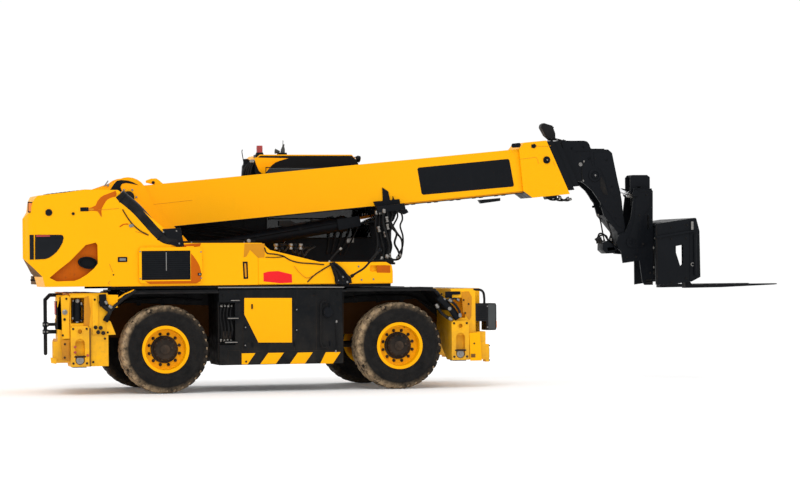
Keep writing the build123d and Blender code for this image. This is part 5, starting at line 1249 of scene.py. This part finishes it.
# frame pressings round the right window, with a rail inside it
S.tube([(x, 0.338, z) for x, z in ((0.09, 2.02), (1.56, 2.02), (1.44, 2.56), (1.27, 2.99), (0.09, 2.99), (0.09, 2.02))], 0.010, RUBBER, 8, 1, smooth=False)
S.tube([(0.12, 0.352, 2.42), (0.6, 0.352, 2.42), (1.45, 0.352, 2.42)], 0.012, BLACK, 10, 3)
for z in (2.16, 2.29):
    S.tube([(0.12, 0.352, z), (0.7, 0.352, z), (1.49, 0.352, z)], 0.009, BLACK, 10, 3)
# stack of hoses, camera and bracket at the cab's rear corner
S.prism([(-0.24, 2.62), (-0.06, 2.62), (-0.055, 3.04), (-0.12, 3.10), (-0.21, 3.02)], 0.42, 0.52, BLACK, "xz", 0.008)
for k in range(4):
    S.tube([(-0.09 - 0.04 * k, 0.415, 2.58), (-0.12 - 0.035 * k, 0.40, 2.80), (-0.10 - 0.03 * k, 0.40, 2.98), (-0.02 - 0.02 * k, 0.44, 3.09)], 0.017, RUBBER, 12, 8, ends=ZINC)
S.lathe([(0, 0), (0.05, 0), (0.05, 0.05), (0.04, 0.06), (0.04, 0.13), (0, 0.135)], BLACK, (-0.16, 0.46, 2.98), (0, 0, 1), 24)
S.tube([(-0.19, 0.46, 3.05), (-0.215, 0.46, 3.20), (-0.21, 0.46, 3.24)], 0.006, BLACK, 8, 4)
S.block(-0.03, 0.03, 0.42, 0.60, 3.10, 3.172, BLACK, 0.006)
# beacon bracket, lens ribs, horn and aerial
S.lathe([(0, 0), (0.062, 0), (0.062, 0.012), (0.052, 0.03), (0.05, 0.045), (0, 0.045)], BLACK, (0.06, 0.62, 3.160), (0, 0, 1), 28)
for k in range(5):
    S.lathe([(0.040, -0.004), (0.0445, -0.004), (0.0445, 0.004), (0.040, 0.004), (0.040, -0.004)], RED_LENS, (0.06, 0.62, 3.205 + 0.019 * k), (0, 0, 1), 28)
S.block(0.30, 0.42, 0.50, 0.62, 3.166, 3.20, BLACK, 0.006)
S.lathe([(0, 0), (0.032, 0), (0.028, 0.05), (0.014, 0.09), (0.014, 0.12), (0, 0.122)], GREY_FILM, (0.37, 0.56, 3.198), (0.12, 0, 1), 20)
S.tube([(0.375, 0.56, 3.30), (0.378, 0.56, 3.37)], 0.005, GREY_FILM, 8, 2, smooth=False)
S.lathe([(0, 0), (0.012, 0), (0.034, 0.06), (0.036, 0.066), (0.028, 0.062), (0, 0.05)], GREY_FILM, (0.33, 0.56, 3.215), (-1, 0, 0.1), 20)
# wiper on the windscreen, lamps on the roof's front edge
S.lathe([(0, 0), (0.028, 0), (0.028, 0.02), (0.016, 0.03), (0, 0.03)], BLACK, (1.70, 0.60, 1.80), (1, 0, 0.05), 20)
S.tube([(1.728, 0.60, 1.80), (1.715, 0.66, 2.12), (1.628, 0.74, 2.42)], 0.008, BLACK, 8, 6)
S.tube([(1.700, 0.70, 2.15), (1.655, 0.74, 2.38), (1.585, 0.79, 2.62)], 0.007, RUBBER, 8, 6)
for y in (0.47, 1.08):
    S.tube([(1.33, y, 3.10), (1.375, y, 3.135), (1.40, y, 3.125)], 0.009, BLACK, 10, 4)
    S.lathe([(0, 0), (0.038, 0), (0.046, 0.015), (0.046, 0.05), (0.042, 0.054), (0, 0.052)], BLACK, (1.385, y, 3.115), (1, 0, -0.2), 26)
    S.lathe([(0, 0), (0.040, 0), (0.034, 0.006), (0, 0.009)], CLEAR_LENS, (1.438, y, 3.1045), (1, 0, -0.2), 26)
# mirror on an arm at the left front corner
for y0, y1 in ((1.20, 1.225), (0.345, 0.343)):
    s = 1 if y0 > 0.8 else -1
    if s < 0:
        continue
    S.tube([(1.58, 1.19, 2.40), (1.66, 1.185, 2.44), (1.72, 1.17, 2.45)], 0.010, BLACK, 10, 6)
    S.block(1.70, 1.735, y1 - 0.155, y1 + 0.012, 2.34, 2.60, BLACK, 0.012, 3)
    S.block(1.694, 1.70, y1 - 0.140, y1 - 0.003, 2.36, 2.58, CHROME, 0.003)
# pedals, joysticks, display and floor mat
S.block(0.30, 1.30, 0.45, 1.10, 1.491, 1.503, RUBBER, 0.003)
for k in range(10):
    S.block(0.36 + 0.09 * k, 0.40 + 0.09 * k, 0.47, 1.08, 1.502, 1.507, RUBBER, 0.001)
for y in (0.66, 0.86):
    S.prism([(1.16, 1.53), (1.20, 1.51), (1.26, 1.60), (1.225, 1.62)], y - 0.035, y + 0.035, BLACK, "xz", 0.005)
for y in (0.53, 1.03):
    S.block(0.42, 0.80, y - 0.045, y + 0.045, 2.05, 2.13, PLASTIC, 0.018, 3)
    S.tube([(0.74, y, 2.12), (0.75, y, 2.18), (0.765, y, 2.25)], 0.014, BLACK, 14, 6)
    S.lathe([(0, 0), (0.022, 0.004), (0.028, 0.03), (0.024, 0.07), (0.012, 0.085), (0, 0.088)], PLASTIC, (0.765, y, 2.23), (0.1, 0, 1), 20)
    S.block(0.46, 0.52, y - 0.02, y + 0.02, 1.75, 2.06, BLACK, 0.006)
S.block(1.30, 1.33, 0.50, 0.68, 2.18, 2.40, BLACK, 0.01, 3)
S.block(1.294, 1.300, 0.515, 0.665, 2.20, 2.38, DARK_LENS, 0.002)
S.tube([(1.40, 0.60, 2.0), (1.35, 0.59, 2.12), (1.32, 0.59, 2.22)], 0.014, BLACK, 10, 4)
S.tube([(0.10, 0.46, 1.62), (0.10, 0.46, 2.5), (0.14, 0.50, 2.9)], 0.014, BLACK, 10, 4)
S.done("cab_fittings", "turret")

S = Solid()
# door: window seal, handle, hinges, lower panel pressing and grab bar
YD = 1.225
S.tube([(x, YD + 0.001, z) for x, z in ((0.28, 1.90), (1.34, 1.90), (1.342, 2.01), (1.248, 2.53), (1.13, 2.92), (0.28, 2.92), (0.28, 1.90))], 0.009, RUBBER, 8, 1, smooth=False)
S.prism([(0.30, 1.58), (1.28, 1.58), (1.35, 1.68), (1.355, 1.83), (0.30, 1.83)], YD - 0.004, YD + 0.004, BLACK, "xz", 0.003)
S.block(1.16, 1.30, YD, YD + 0.012, 1.85, 1.885, BLACK, 0.004)
S.tube([(1.17, YD + 0.012, 1.866), (1.19, YD + 0.040, 1.866), (1.27, YD + 0.040, 1.866), (1.29, YD + 0.012, 1.866)], 0.008, BLACK, 10, 4)
for z in (1.65, 2.75):
    S.prism([(0.21, z - 0.045), (0.33, z - 0.03), (0.33, z + 0.03), (0.21, z + 0.045)], YD - 0.002, YD + 0.010, BLACK, "xz", 0.004)
    for x in (0.26, 0.305):
        S.bolt((x, YD + 0.0095, z), (0, 1, 0), 0.014, ZINC)
S.tube([(0.40, YD - 0.052, 1.95), (0.42, YD - 0.085, 1.97), (0.42, YD - 0.085, 2.30), (0.40, YD - 0.052, 2.32)], 0.010, BLACK, 10, 5)
S.done("cab_door_fittings", "cab_door")

# ---------------------------------------------------------------- seat
FABRIC, nt, sh = new_mat("woven_seat_cloth")
co = coords(nt)
n1 = noise(nt, co, 14.0, 6.0, 0.7)
w1 = nt.nodes.new("ShaderNodeTexWave"); w1.inputs["Scale"].default_value = 180.0; w1.bands_direction = "Y"
w2 = nt.nodes.new("ShaderNodeTexWave"); w2.inputs["Scale"].default_value = 180.0; w2.bands_direction = "X"
nt.links.new(co, w1.inputs["Vector"]); nt.links.new(co, w2.inputs["Vector"])
weave = math_(nt, "MULTIPLY", w1.outputs["Fac"], w2.outputs["Fac"])
nt.links.new(mix(nt, ramp(nt, n1, [(0.3, 0.0), (0.8, 1.0)]), (0.022, 0.023, 0.026), (0.05, 0.05, 0.054)), sh.inputs["Base Color"])
nt.links.new(ramp(nt, n1, [(0.3, 0.85), (0.8, 0.98)]), sh.inputs["Roughness"])
sh.inputs["Sheen Weight"].default_value = 0.3
bump(nt, sh, math_(nt, "ADD", weave, n1), 0.4, 0.001)


def pad(name, sx, sy, sz, M, crown, channels, n=26, puff=0.010):
    """A sewn cushion: rounded block, crowned, then blown up by a cloth simulation with its channels and base held."""
    bm = bmesh.new()
    bmesh.ops.create_cube(bm, size=2.0)
    bmesh.ops.subdivide_edges(bm, edges=bm.edges, cuts=n, use_grid_fill=True)
    held = []
    for v in bm.verts:
        p = v.co.copy()
        k = (abs(p.x) ** 8 + abs(p.y) ** 8 + abs(p.z) ** 8) ** (1 / 8)
        p = p / k
        top = max(0.0, p.z)
        edge = (1 - abs(p.x) ** 3) * (1 - abs(p.y) ** 3)
        x, y, z = p.x * sx / 2, p.y * sy / 2, p.z * sz / 2 + top * crown * edge
        # sides pull in a little between the corners
        x *= 1 - 0.022 * (1 - p.y * p.y) * (abs(p.x) > 0.6)
        y *= 1 - 0.022 * (1 - p.x * p.x) * (abs(p.y) > 0.6)
        d = min(abs(y - c) for c in channels)
        g = math.exp(-(d / 0.010) ** 2) * (p.z > 0.3)
        z -= 0.010 * g
        v.co = (x, y, z)
        held.append(1.0 if p.z < -0.55 or g > 0.55 else 0.0)
    me = bpy.data.meshes.new(name)
    bm.to_mesh(me)
    bm.free()
    me.materials.append(FABRIC)
    me.polygons.foreach_set("use_smooth", [True] * len(me.polygons))
    o = bpy.data.objects.new(name, me)
    scene.collection.objects.link(o)
    vg = o.vertex_groups.new(name="held")
    for i, w in enumerate(held):
        if w:
            vg.add([i], w, "REPLACE")
    start = [v.co.copy() for v in me.vertices]
    c = o.modifiers.new("puff", "CLOTH")
    st = c.settings
    st.quality = 5
    st.mass = 0.3
    st.tension_stiffness = 20
    st.compression_stiffness = 20
    st.shear_stiffness = 10
    st.bending_stiffness = 1.5
    st.vertex_group_mass = "held"
    st.use_pressure = True
    st.uniform_pressure_force = 3.0
    st.effector_weights.gravity = 0.0
    c.point_cache.frame_start, c.point_cache.frame_end = 1, 14
    for f in range(1, 13):
        scene.frame_set(f)
    dg = bpy.context.evaluated_depsgraph_get()
    ev = o.evaluated_get(dg)
    new = [v.co.copy() for v in ev.data.vertices]
    o.modifiers.remove(c)
    for v, a, b in zip(me.vertices, start, new):
        d = b - a
        if d.length > puff:
            d = d * (puff / d.length)
        v.co = a + d
    o.vertex_groups.clear()
    scene.frame_set(1)
    sub = o.modifiers.new("round", "SUBSURF")
    sub.levels = sub.render_levels = 1
    o.matrix_world = Matrix.Translation(Vector((SX, 0, 0))) @ M
    return o


SM = Matrix.Translation(Vector((0.505, 0.78, 1.825)))
seat_pad = pad("seat_cushion", 0.49, 0.46, 0.115, SM, 0.022, (-0.14, 0.14))
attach(seat_pad, "turret")
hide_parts("operator_seat")
tilt = math.radians(-81)
BMx = Matrix.Translation(Vector((0.285, 0.78, 2.215))) @ Matrix.Rotation(math.radians(81), 4, "Y")
back_pad = pad("seat_back", 0.60, 0.425, 0.105, BMx, 0.020, (-0.125, 0.125))
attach(back_pad, "turret")
HMx = Matrix.Translation(Vector((0.222, 0.78, 2.645))) @ Matrix.Rotation(math.radians(81), 4, "Y")
head_pad = pad("seat_headrest", 0.165, 0.25, 0.07, HMx, 0.010, (-0.5, 0.5), n=16, puff=0.006)
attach(head_pad, "turret")
S = Solid()
S.block(0.27, 0.72, 0.57, 0.99, 1.735, 1.768, BLACK, 0.012, 3)
for k in range(8):
    z = 1.535 + 0.025 * k
    S.block(0.30 + 0.004 * (k % 2), 0.66 - 0.004 * (k % 2), 0.60 + 0.006 * (k % 2), 0.96 - 0.006 * (k % 2), z, z + 0.022, RUBBER, 0.008, 2)
S.block(0.25, 0.69, 0.57, 0.99, 1.492, 1.532, BLACK, 0.01)
S.prism([(0.235, 1.90), (0.262, 1.90), (0.190, 2.53), (0.165, 2.53)], 0.60, 0.96, PLASTIC, "xz", 0.006)
for y in (0.71, 0.85):
    S.tube([(0.20, y, 2.50), (0.195, y, 2.60), (0.19, y, 2.64)], 0.008, CHROME, 10, 4)
S.lathe([(0, 0), (0.03, 0), (0.03, 0.02), (0, 0.022)], PLASTIC, (0.30, 0.995, 1.80), (0, 1, 0), 20)
S.done("seat_frame", "turret")

# ================================================================ left side, rear and top
S = Solid()
# counterweight: lifting eyes, bolts, blank label plate, access panel, reflective corner strips
for y in (-0.15, 0.42):
    S.tube([(-2.86, y - 0.05, 2.36), (-2.86, y - 0.045, 2.415), (-2.86, y, 2.44), (-2.86, y + 0.045, 2.415), (-2.86, y + 0.05, 2.36)], 0.016, CAST, 12, 6)
for y in (-0.20, 0.05, 0.30):
    for z in (1.52, 2.24):
        S.bolt((-3.0802, y, z), (-1, 0, 0), 0.036, CAST)
S.block(-3.0865, -3.0785, -0.12, 0.26, 1.70, 2.02, BLACK_DUSTY, 0.003)
S.block(-3.0885, -3.0855, 0.0, 0.14, 2.08, 2.15, GREY_FILM, 0.001)
for z in (1.62, 2.14):
    S.prism([(-3.021, 0.905), (-2.984, 0.970), (-2.992, 0.975), (-3.029, 0.909)], z, z + 0.12, RED_LENS, "xy", 0.002)
S.prism([(-3.026, 0.870), (-3.030, 0.868), (-3.062, 0.640), (-3.058, 0.640)], 1.48, 1.58, GREY_FILM, "xy", 0.001)
# painted shade: a dark scuffed strip along the lower edge of the counterweight
S.block(-3.094, -3.0785, -0.29, 0.62, 1.432, 1.545, RUST_AND_SHADE, 0.006)
for k in range(6):
    S.bolt((-3.0935, -0.22 + 0.15 * k, 1.49), (-1, 0, 0), 0.022, CAST)
# pod: cooling grille in its top, roof bolts
for k in range(9):
    x = -3.06 + 0.055 * k
    z = 2.600 + 0.0 * k
    S.block(x, x + 0.026, -1.06, -0.56, 2.585 + 0.0063 * k * 1.0, 2.612 + 0.0063 * k, BLACK, 0.004)
for x, z in ((-0.50, 1.953), (-1.20, 1.958)):
    for y in (-0.40, -1.14):
        S.bolt((x, y, z), (0, 0, 1), 0.02, ZINC)
# hydraulic tank: filler, sight gauge, return filter, hoses across to the valve block
S.lathe([(0, 0), (0.06, 0), (0.06, 0.03), (0.052, 0.038), (0, 0.04)], BLACK, (-1.9, 0.80, 2.229), (0, 0, 1), 32)
S.lathe([(0, 0), (0.09, 0), (0.09, 0.02), (0.07, 0.028), (0.07, 0.09), (0, 0.095)], CAST, (-1.4, 0.72, 2.229), (0, 0, 1), 36)
S.block(-2.06, -2.02, 1.148, 1.160, 1.55, 1.80, CLEAR_LENS, 0.006)
S.block(-2.075, -2.005, 1.146, 1.154, 1.53, 1.82, BLACK, 0.004)
for k in range(6):
    S.block(-1.72, -0.42, 1.148, 1.156, 1.52 + 0.095 * k, 1.56 + 0.095 * k, BLACK, 0.004)
for k in range(5):
    y = 0.45 + 0.11 * k
    S.tube([(-0.62, y, 2.235), (-0.60, y, 2.30), (-0.50, y - 0.02, 2.33), (-0.38, y - 0.04, 2.30), (-0.34, y - 0.05, 2.235)], 0.018, RUBBER, 12, 8, ends=ZINC)
S.block(-0.72, -0.28, 0.40, 0.98, 2.226, 2.25, CAST, 0.006)
for x in (-2.2, -0.25):
    for y in (0.40, 1.08):
        S.bolt((x, y, 2.2285), (0, 0, 1), 0.02, ZINC)
# boom pivot caps with their bolts, and caps on the lift cylinder's base pin, on the turret plates
for sy in (-1, 1):
    S.lathe([(0, 0), (0.075, 0), (0.08, 0.008), (0.08, 0.022), (0.07, 0.028), (0.03, 0.028), (0.026, 0.02), (0, 0.02)], CAST, (-1.9, sy * 0.3055, 2.58), (0, sy, 0), 36)
    S.lathe([(0, 0), (0.062, 0), (0.066, 0.008), (0.066, 0.018), (0.058, 0.022), (0, 0.022)], CAST, (-1.4, sy * 0.3055, 1.80), (0, sy, 0), 32)
    for a in range(0, 360, 60):
        r = math.radians(a)
        S.bolt((-1.9 + 0.11 * math.cos(r), sy * 0.2998, 2.58 + 0.11 * math.sin(r)), (0, sy, 0), 0.02, ZINC)
# slew ring bolts and the swivel in its middle
for k in range(36):
    a = 2 * math.pi * k / 36
    S.bolt((0.545 * math.cos(a), 0.545 * math.sin(a), 1.4298), (0, 0, 1), 0.022, STEEL)
S.lathe([(0, 0), (0.13, 0), (0.13, 0.12), (0.10, 0.14), (0.10, 0.22), (0, 0.22)], CAST, (0, 0, 1.432), (0, 0, 1), 32)
for k in range(6):
    a = 2 * math.pi * k / 6
    c, s = math.cos(a), math.sin(a)
    S.tube([(0.09 * c, 0.09 * s, 1.60), (0.15 * c, 0.15 * s, 1.61), (0.22 * c, 0.22 * s, 1.54), (0.26 * c, 0.26 * s, 1.45)], 0.013, RUBBER, 10, 8, ends=ZINC)
# dark strip under the edge of the turret deck: painted shadow under the turret
for sy in (-1, 1):
    S.block(-2.30, 1.47, min(sy * 1.11, sy * 1.148), max(sy * 1.11, sy * 1.148), 1.362, 1.4004, BLACK_DUSTY, 0.002)
S.block(1.435, 1.47, -1.11, 1.11, 1.362, 1.4004, BLACK_DUSTY, 0.002)
S.done("upper_fittings", "turret")

S = Solid()
# left box: step treads, filler cap, seams
for z in (0.475, 0.805, 1.135):
    for k in range(6):
        y = 1.03 + 0.028 * k
        S.block(0.35, 0.74, y, y + 0.010, z, z + 0.010, STEEL, 0.002)
for x in (0.322, 0.768):
    S.tube([(x, 1.205, 0.62), (x, 1.222, 0.64), (x, 1.222, 1.20), (x, 1.205, 1.22)], 0.010, BLACK, 10, 4)
S.lathe([(0, 0), (0.07, 0), (0.072, 0.01), (0.072, 0.035), (0.06, 0.042), (0, 0.044)], BLACK, (-0.60, 1.199, 1.10), (0, 1, 0), 36)
for x in (-0.42, 0.10):
    S.tube([(x, 1.2005, 0.42), (x, 1.2005, 1.30)], 0.003, CAST, 6, 2, smooth=False)
for q in ((-0.78, 0.50), (-0.50, 0.50), (-0.22, 0.50), (0.06, 0.50)):
    S.prism([(q[0], 0.375), (q[0] + 0.15, 0.375), (q[0] + 0.26, 0.515), (q[0] + 0.11, 0.515)], 1.199, 1.202, YELLOW, "xz", 0.0005)
for x, z in ((-0.80, 1.27), (-0.46, 1.27), (-0.38, 1.27), (0.06, 1.27), (0.27, 1.27), (-0.80, 0.60), (0.27, 0.60)):
    S.bolt((x, 1.1998, z), (0, 1, 0), 0.019, BLACK_DUSTY)
# left ends of the two housings: ribs, hoses and bolts
for x0, x1, zz in ((-2.68, -2.62, 1.28), (-2.40, -2.34, 1.28), (2.32, 2.38, 1.28), (2.58, 2.605, 1.28)):
    S.block(x0, x1, 1.178, 1.192, 0.95, zz, YELLOW_DIRTY, 0.004)
for x in (-2.55, -2.46):
    S.tube([(x, 1.05, 1.24), (x + 0.02, 1.12, 1.20), (x + 0.015, 1.13, 1.05), (x - 0.01, 1.06, 0.94)], 0.013, RUBBER, 12, 8, ends=ZINC)
for x, z in ((-2.65, 1.24), (-2.36, 1.24), (2.35, 1.24), (-2.65, 1.0), (2.35, 1.0)):
    S.bolt((x, 1.1918, z), (0, 1, 0), 0.02, CAST)
# belly: axle covers, propeller shaft joints, air tanks and brake lines
for ax in (-1.565, 1.565):
    s = 1 if ax > 0 else -1
    for k in range(10):
        a = 2 * math.pi * k / 10
        S.bolt((ax - s * 0.288, 0.085 * math.cos(a), 0.575 + 0.085 * math.sin(a)), (-s, 0, 0), 0.016, ZINC)
    for sy in (-1, 1):
        S.tube([(ax - s * 0.175, sy * 0.12, 0.62), (ax - s * 0.175, sy * 0.50, 0.62)], 0.034, BLACK, 22, 2, smooth=False)
        S.tube([(ax - s * 0.175, sy * 0.50, 0.62), (ax - s * 0.175, sy * 0.565, 0.62)], 0.019, CHROME, 18, 2, smooth=False)
        S.tube([(ax, sy * 0.60, 0.70), (ax - s * 0.03, sy * 0.45, 0.73), (ax - s * 0.05, sy * 0.25, 0.75), (ax - s * 0.10, sy * 0.12, 0.757)], 0.009, RUBBER, 10, 8, ends=ZINC)
        S.block(ax - 0.10, ax + 0.10, sy * 0.28 if sy > 0 else -0.39, 0.39 if sy > 0 else -0.28, 0.585, 0.603, CAST, 0.004)
for x in (-0.55, 0.55):
    S.lathe([(0, -0.03), (0.062, -0.03), (0.062, 0.03), (0, 0.03)], CAST, (x, 0, 0.575), (1, 0, 0), 24)
    S.block(x - 0.02, x + 0.02, -0.075, 0.075, 0.555, 0.595, CAST, 0.008)
for sy in (-1, 1):
    S.lathe([(0, -0.28), (0.07, -0.27), (0.085, -0.24), (0.085, 0.24), (0.07, 0.27), (0, 0.28)], BLACK, (0.0, sy * 0.315, 0.665), (1, 0, 0), 32)
    for x in (-0.15, 0.15):
        S.lathe([(0.084, -0.015), (0.089, -0.015), (0.089, 0.015), (0.084, 0.015), (0.084, -0.015)], STEEL, (x, sy * 0.315, 0.665), (1, 0, 0), 32)
S.done("lower_fittings", "chassis")

# lift cylinder gland, ports and pipes; tilt cylinder gland
a = math.atan2(2.300 - 1.800, 1.620 + 1.400)
AM = Matrix.Translation(Vector((-1.4, 0, 1.8))) @ Matrix.Rotation(-a, 4, "Y")
S = Solid()
S.lathe([(0.0965, 2.44), (0.108, 2.445), (0.112, 2.452), (0.112, 2.545), (0.106, 2.552), (0.0635, 2.556), (0.0635, 2.44), (0.0965, 2.44)], BLACK, (0, 0, 0), (1, 0, 0), 40, AM)
S.lathe([(0.0955, 0.20), (0.104, 0.205), (0.104, 0.27), (0.0955, 0.275), (0.0955, 0.20)], BLACK, (0, 0, 0), (1, 0, 0), 36, AM)
for s in (-1, 1):
    S.prism([(2.42, -0.075), (2.72, -0.070), (2.74, -0.05), (2.74, 0.05), (2.72, 0.070), (2.42, 0.075)], *sorted((s * 0.113, s * 0.121)), BLACK, "xz", 0.003, 2, AM)
    S.tube([(0.26, s * 0.10, 0.03), (0.5, s * 0.108, 0.035), (2.2, s * 0.108, 0.035), (2.46, s * 0.10, 0.02)], 0.010, BLACK, 10, 3, M=AM)
    for u in (0.7, 1.3, 1.9):
        S.block(u - 0.02, u + 0.02, *sorted((s * 0.09, s * 0.122)), 0.018, 0.052, BLACK, 0.004, 2, AM)
S.block(0.20, 0.32, -0.045, 0.045, 0.085, 0.155, CAST, 0.008, 2, AM)
S.done("lift_cylinder_fittings", "lift_barrel")
a = math.atan2(2.600 - 3.010, 5.200 - 3.900)
TM = Matrix.Translation(Vector((3.9, 0, 3.01))) @ Matrix.Rotation(-a, 4, "Y")
S = Solid()
S.lathe([(0.0622, 1.0), (0.070, 1.004), (0.070, 1.085), (0.064, 1.095), (0.0455, 1.098), (0.0455, 1.0), (0.0622, 1.0)], BLACK, (0, 0, 0), (1, 0, 0), 36, TM)
S.tube([(0.18, 0, 0.060), (0.3, 0, 0.073), (0.9, 0, 0.073), (1.03, 0, 0.062)], 0.008, STEEL, 10, 3, M=TM)
S.done("tilt_cylinder_fittings", "tilt_barrel")

# the lift bracket's lower plates are black
shade_faces("boom_base", BLACK, lambda x, y, z, n: to_boom(x, z)[1] < -0.47 and x > 1.2)

# ================================================================ stage, light and camera
floor_m, nt, sh = new_mat("pale_floor")
sh.inputs["Roughness"].default_value = 0.75
fn = noise(nt, coords(nt), 3.0, 3.0)
nt.links.new(ramp(nt, fn, [(0.3, (0.94, 0.94, 0.94)), (0.7, (0.96, 0.96, 0.96))]), sh.inputs["Base Color"])
sh.inputs["Emission Color"].default_value = (1.0, 1.0, 1.0, 1)
sh.inputs["Emission Strength"].default_value = 0.05
me = bpy.data.meshes.new("floor")
me.from_pydata([(-90, -90, 0), (90, -90, 0), (90, 90, 0), (-90, 90, 0)], [], [(0, 1, 2, 3)])
floor = bpy.data.objects.new("floor", me)
me.materials.append(floor_m)
scene.collection.objects.link(floor)

world = bpy.data.worlds.new("studio")
scene.world = world
world.use_nodes = True
bg = world.node_tree.nodes["Background"]
bg.inputs["Color"].default_value = (1.0, 1.0, 1.0, 1)
bg.inputs["Strength"].default_value = 1.02


def area(name, loc, aim, size, power, col=(1, 1, 1)):
    l = bpy.data.lights.new(name, "AREA")
    l.shape = "RECTANGLE"
    l.size, l.size_y = size
    l.energy = power
    l.color = col
    o = bpy.data.objects.new(name, l)
    o.location = loc
    d = Vector(aim) - Vector(loc)
    o.rotation_euler = d.to_track_quat("-Z", "Y").to_euler()
    scene.collection.objects.link(o)
    return o


area("key", (-6.0, -16.0, 15.0), (0, 0, 1.2), (14, 10), 350)
area("rim", (9.0, 12.0, 12.0), (0, 0, 1.5), (12, 8), 150)
sun = bpy.data.lights.new("sun", "SUN")
sun.energy = 0.45
sun.angle = math.radians(18)
so = bpy.data.objects.new("sun", sun)
so.rotation_euler = Vector((0.35, 0.75, -1.0)).to_track_quat("-Z", "Y").to_euler()
scene.collection.objects.link(so)

scene.view_settings.view_transform = "Standard"
scene.view_settings.look = "None"

cam_d = bpy.data.cameras.new("camera")
cam = bpy.data.objects.new("camera", cam_d)
scene.collection.objects.link(cam)
scene.camera = cam
right = Vector((0.9715326, -0.23668763, -0.01016733))
up = Vector((0.0088124, -0.00678182, 0.99993817))
fwd = Vector((0.23674195, 0.97156213, 0.00450297))
cam.matrix_world = Matrix(((right.x, up.x, -fwd.x, -7.70571928 + SX), (right.y, up.y, -fwd.y, -39.33972802),
                           (right.z, up.z, -fwd.z, 1.66471775), (0, 0, 0, 1)))
cam_d.sensor_fit = "HORIZONTAL"
cam_d.sensor_width = 36.0
cam_d.lens = 2961.13 / 800.0 * 36.0
cam_d.clip_start = 0.5
cam_d.clip_end = 400.0
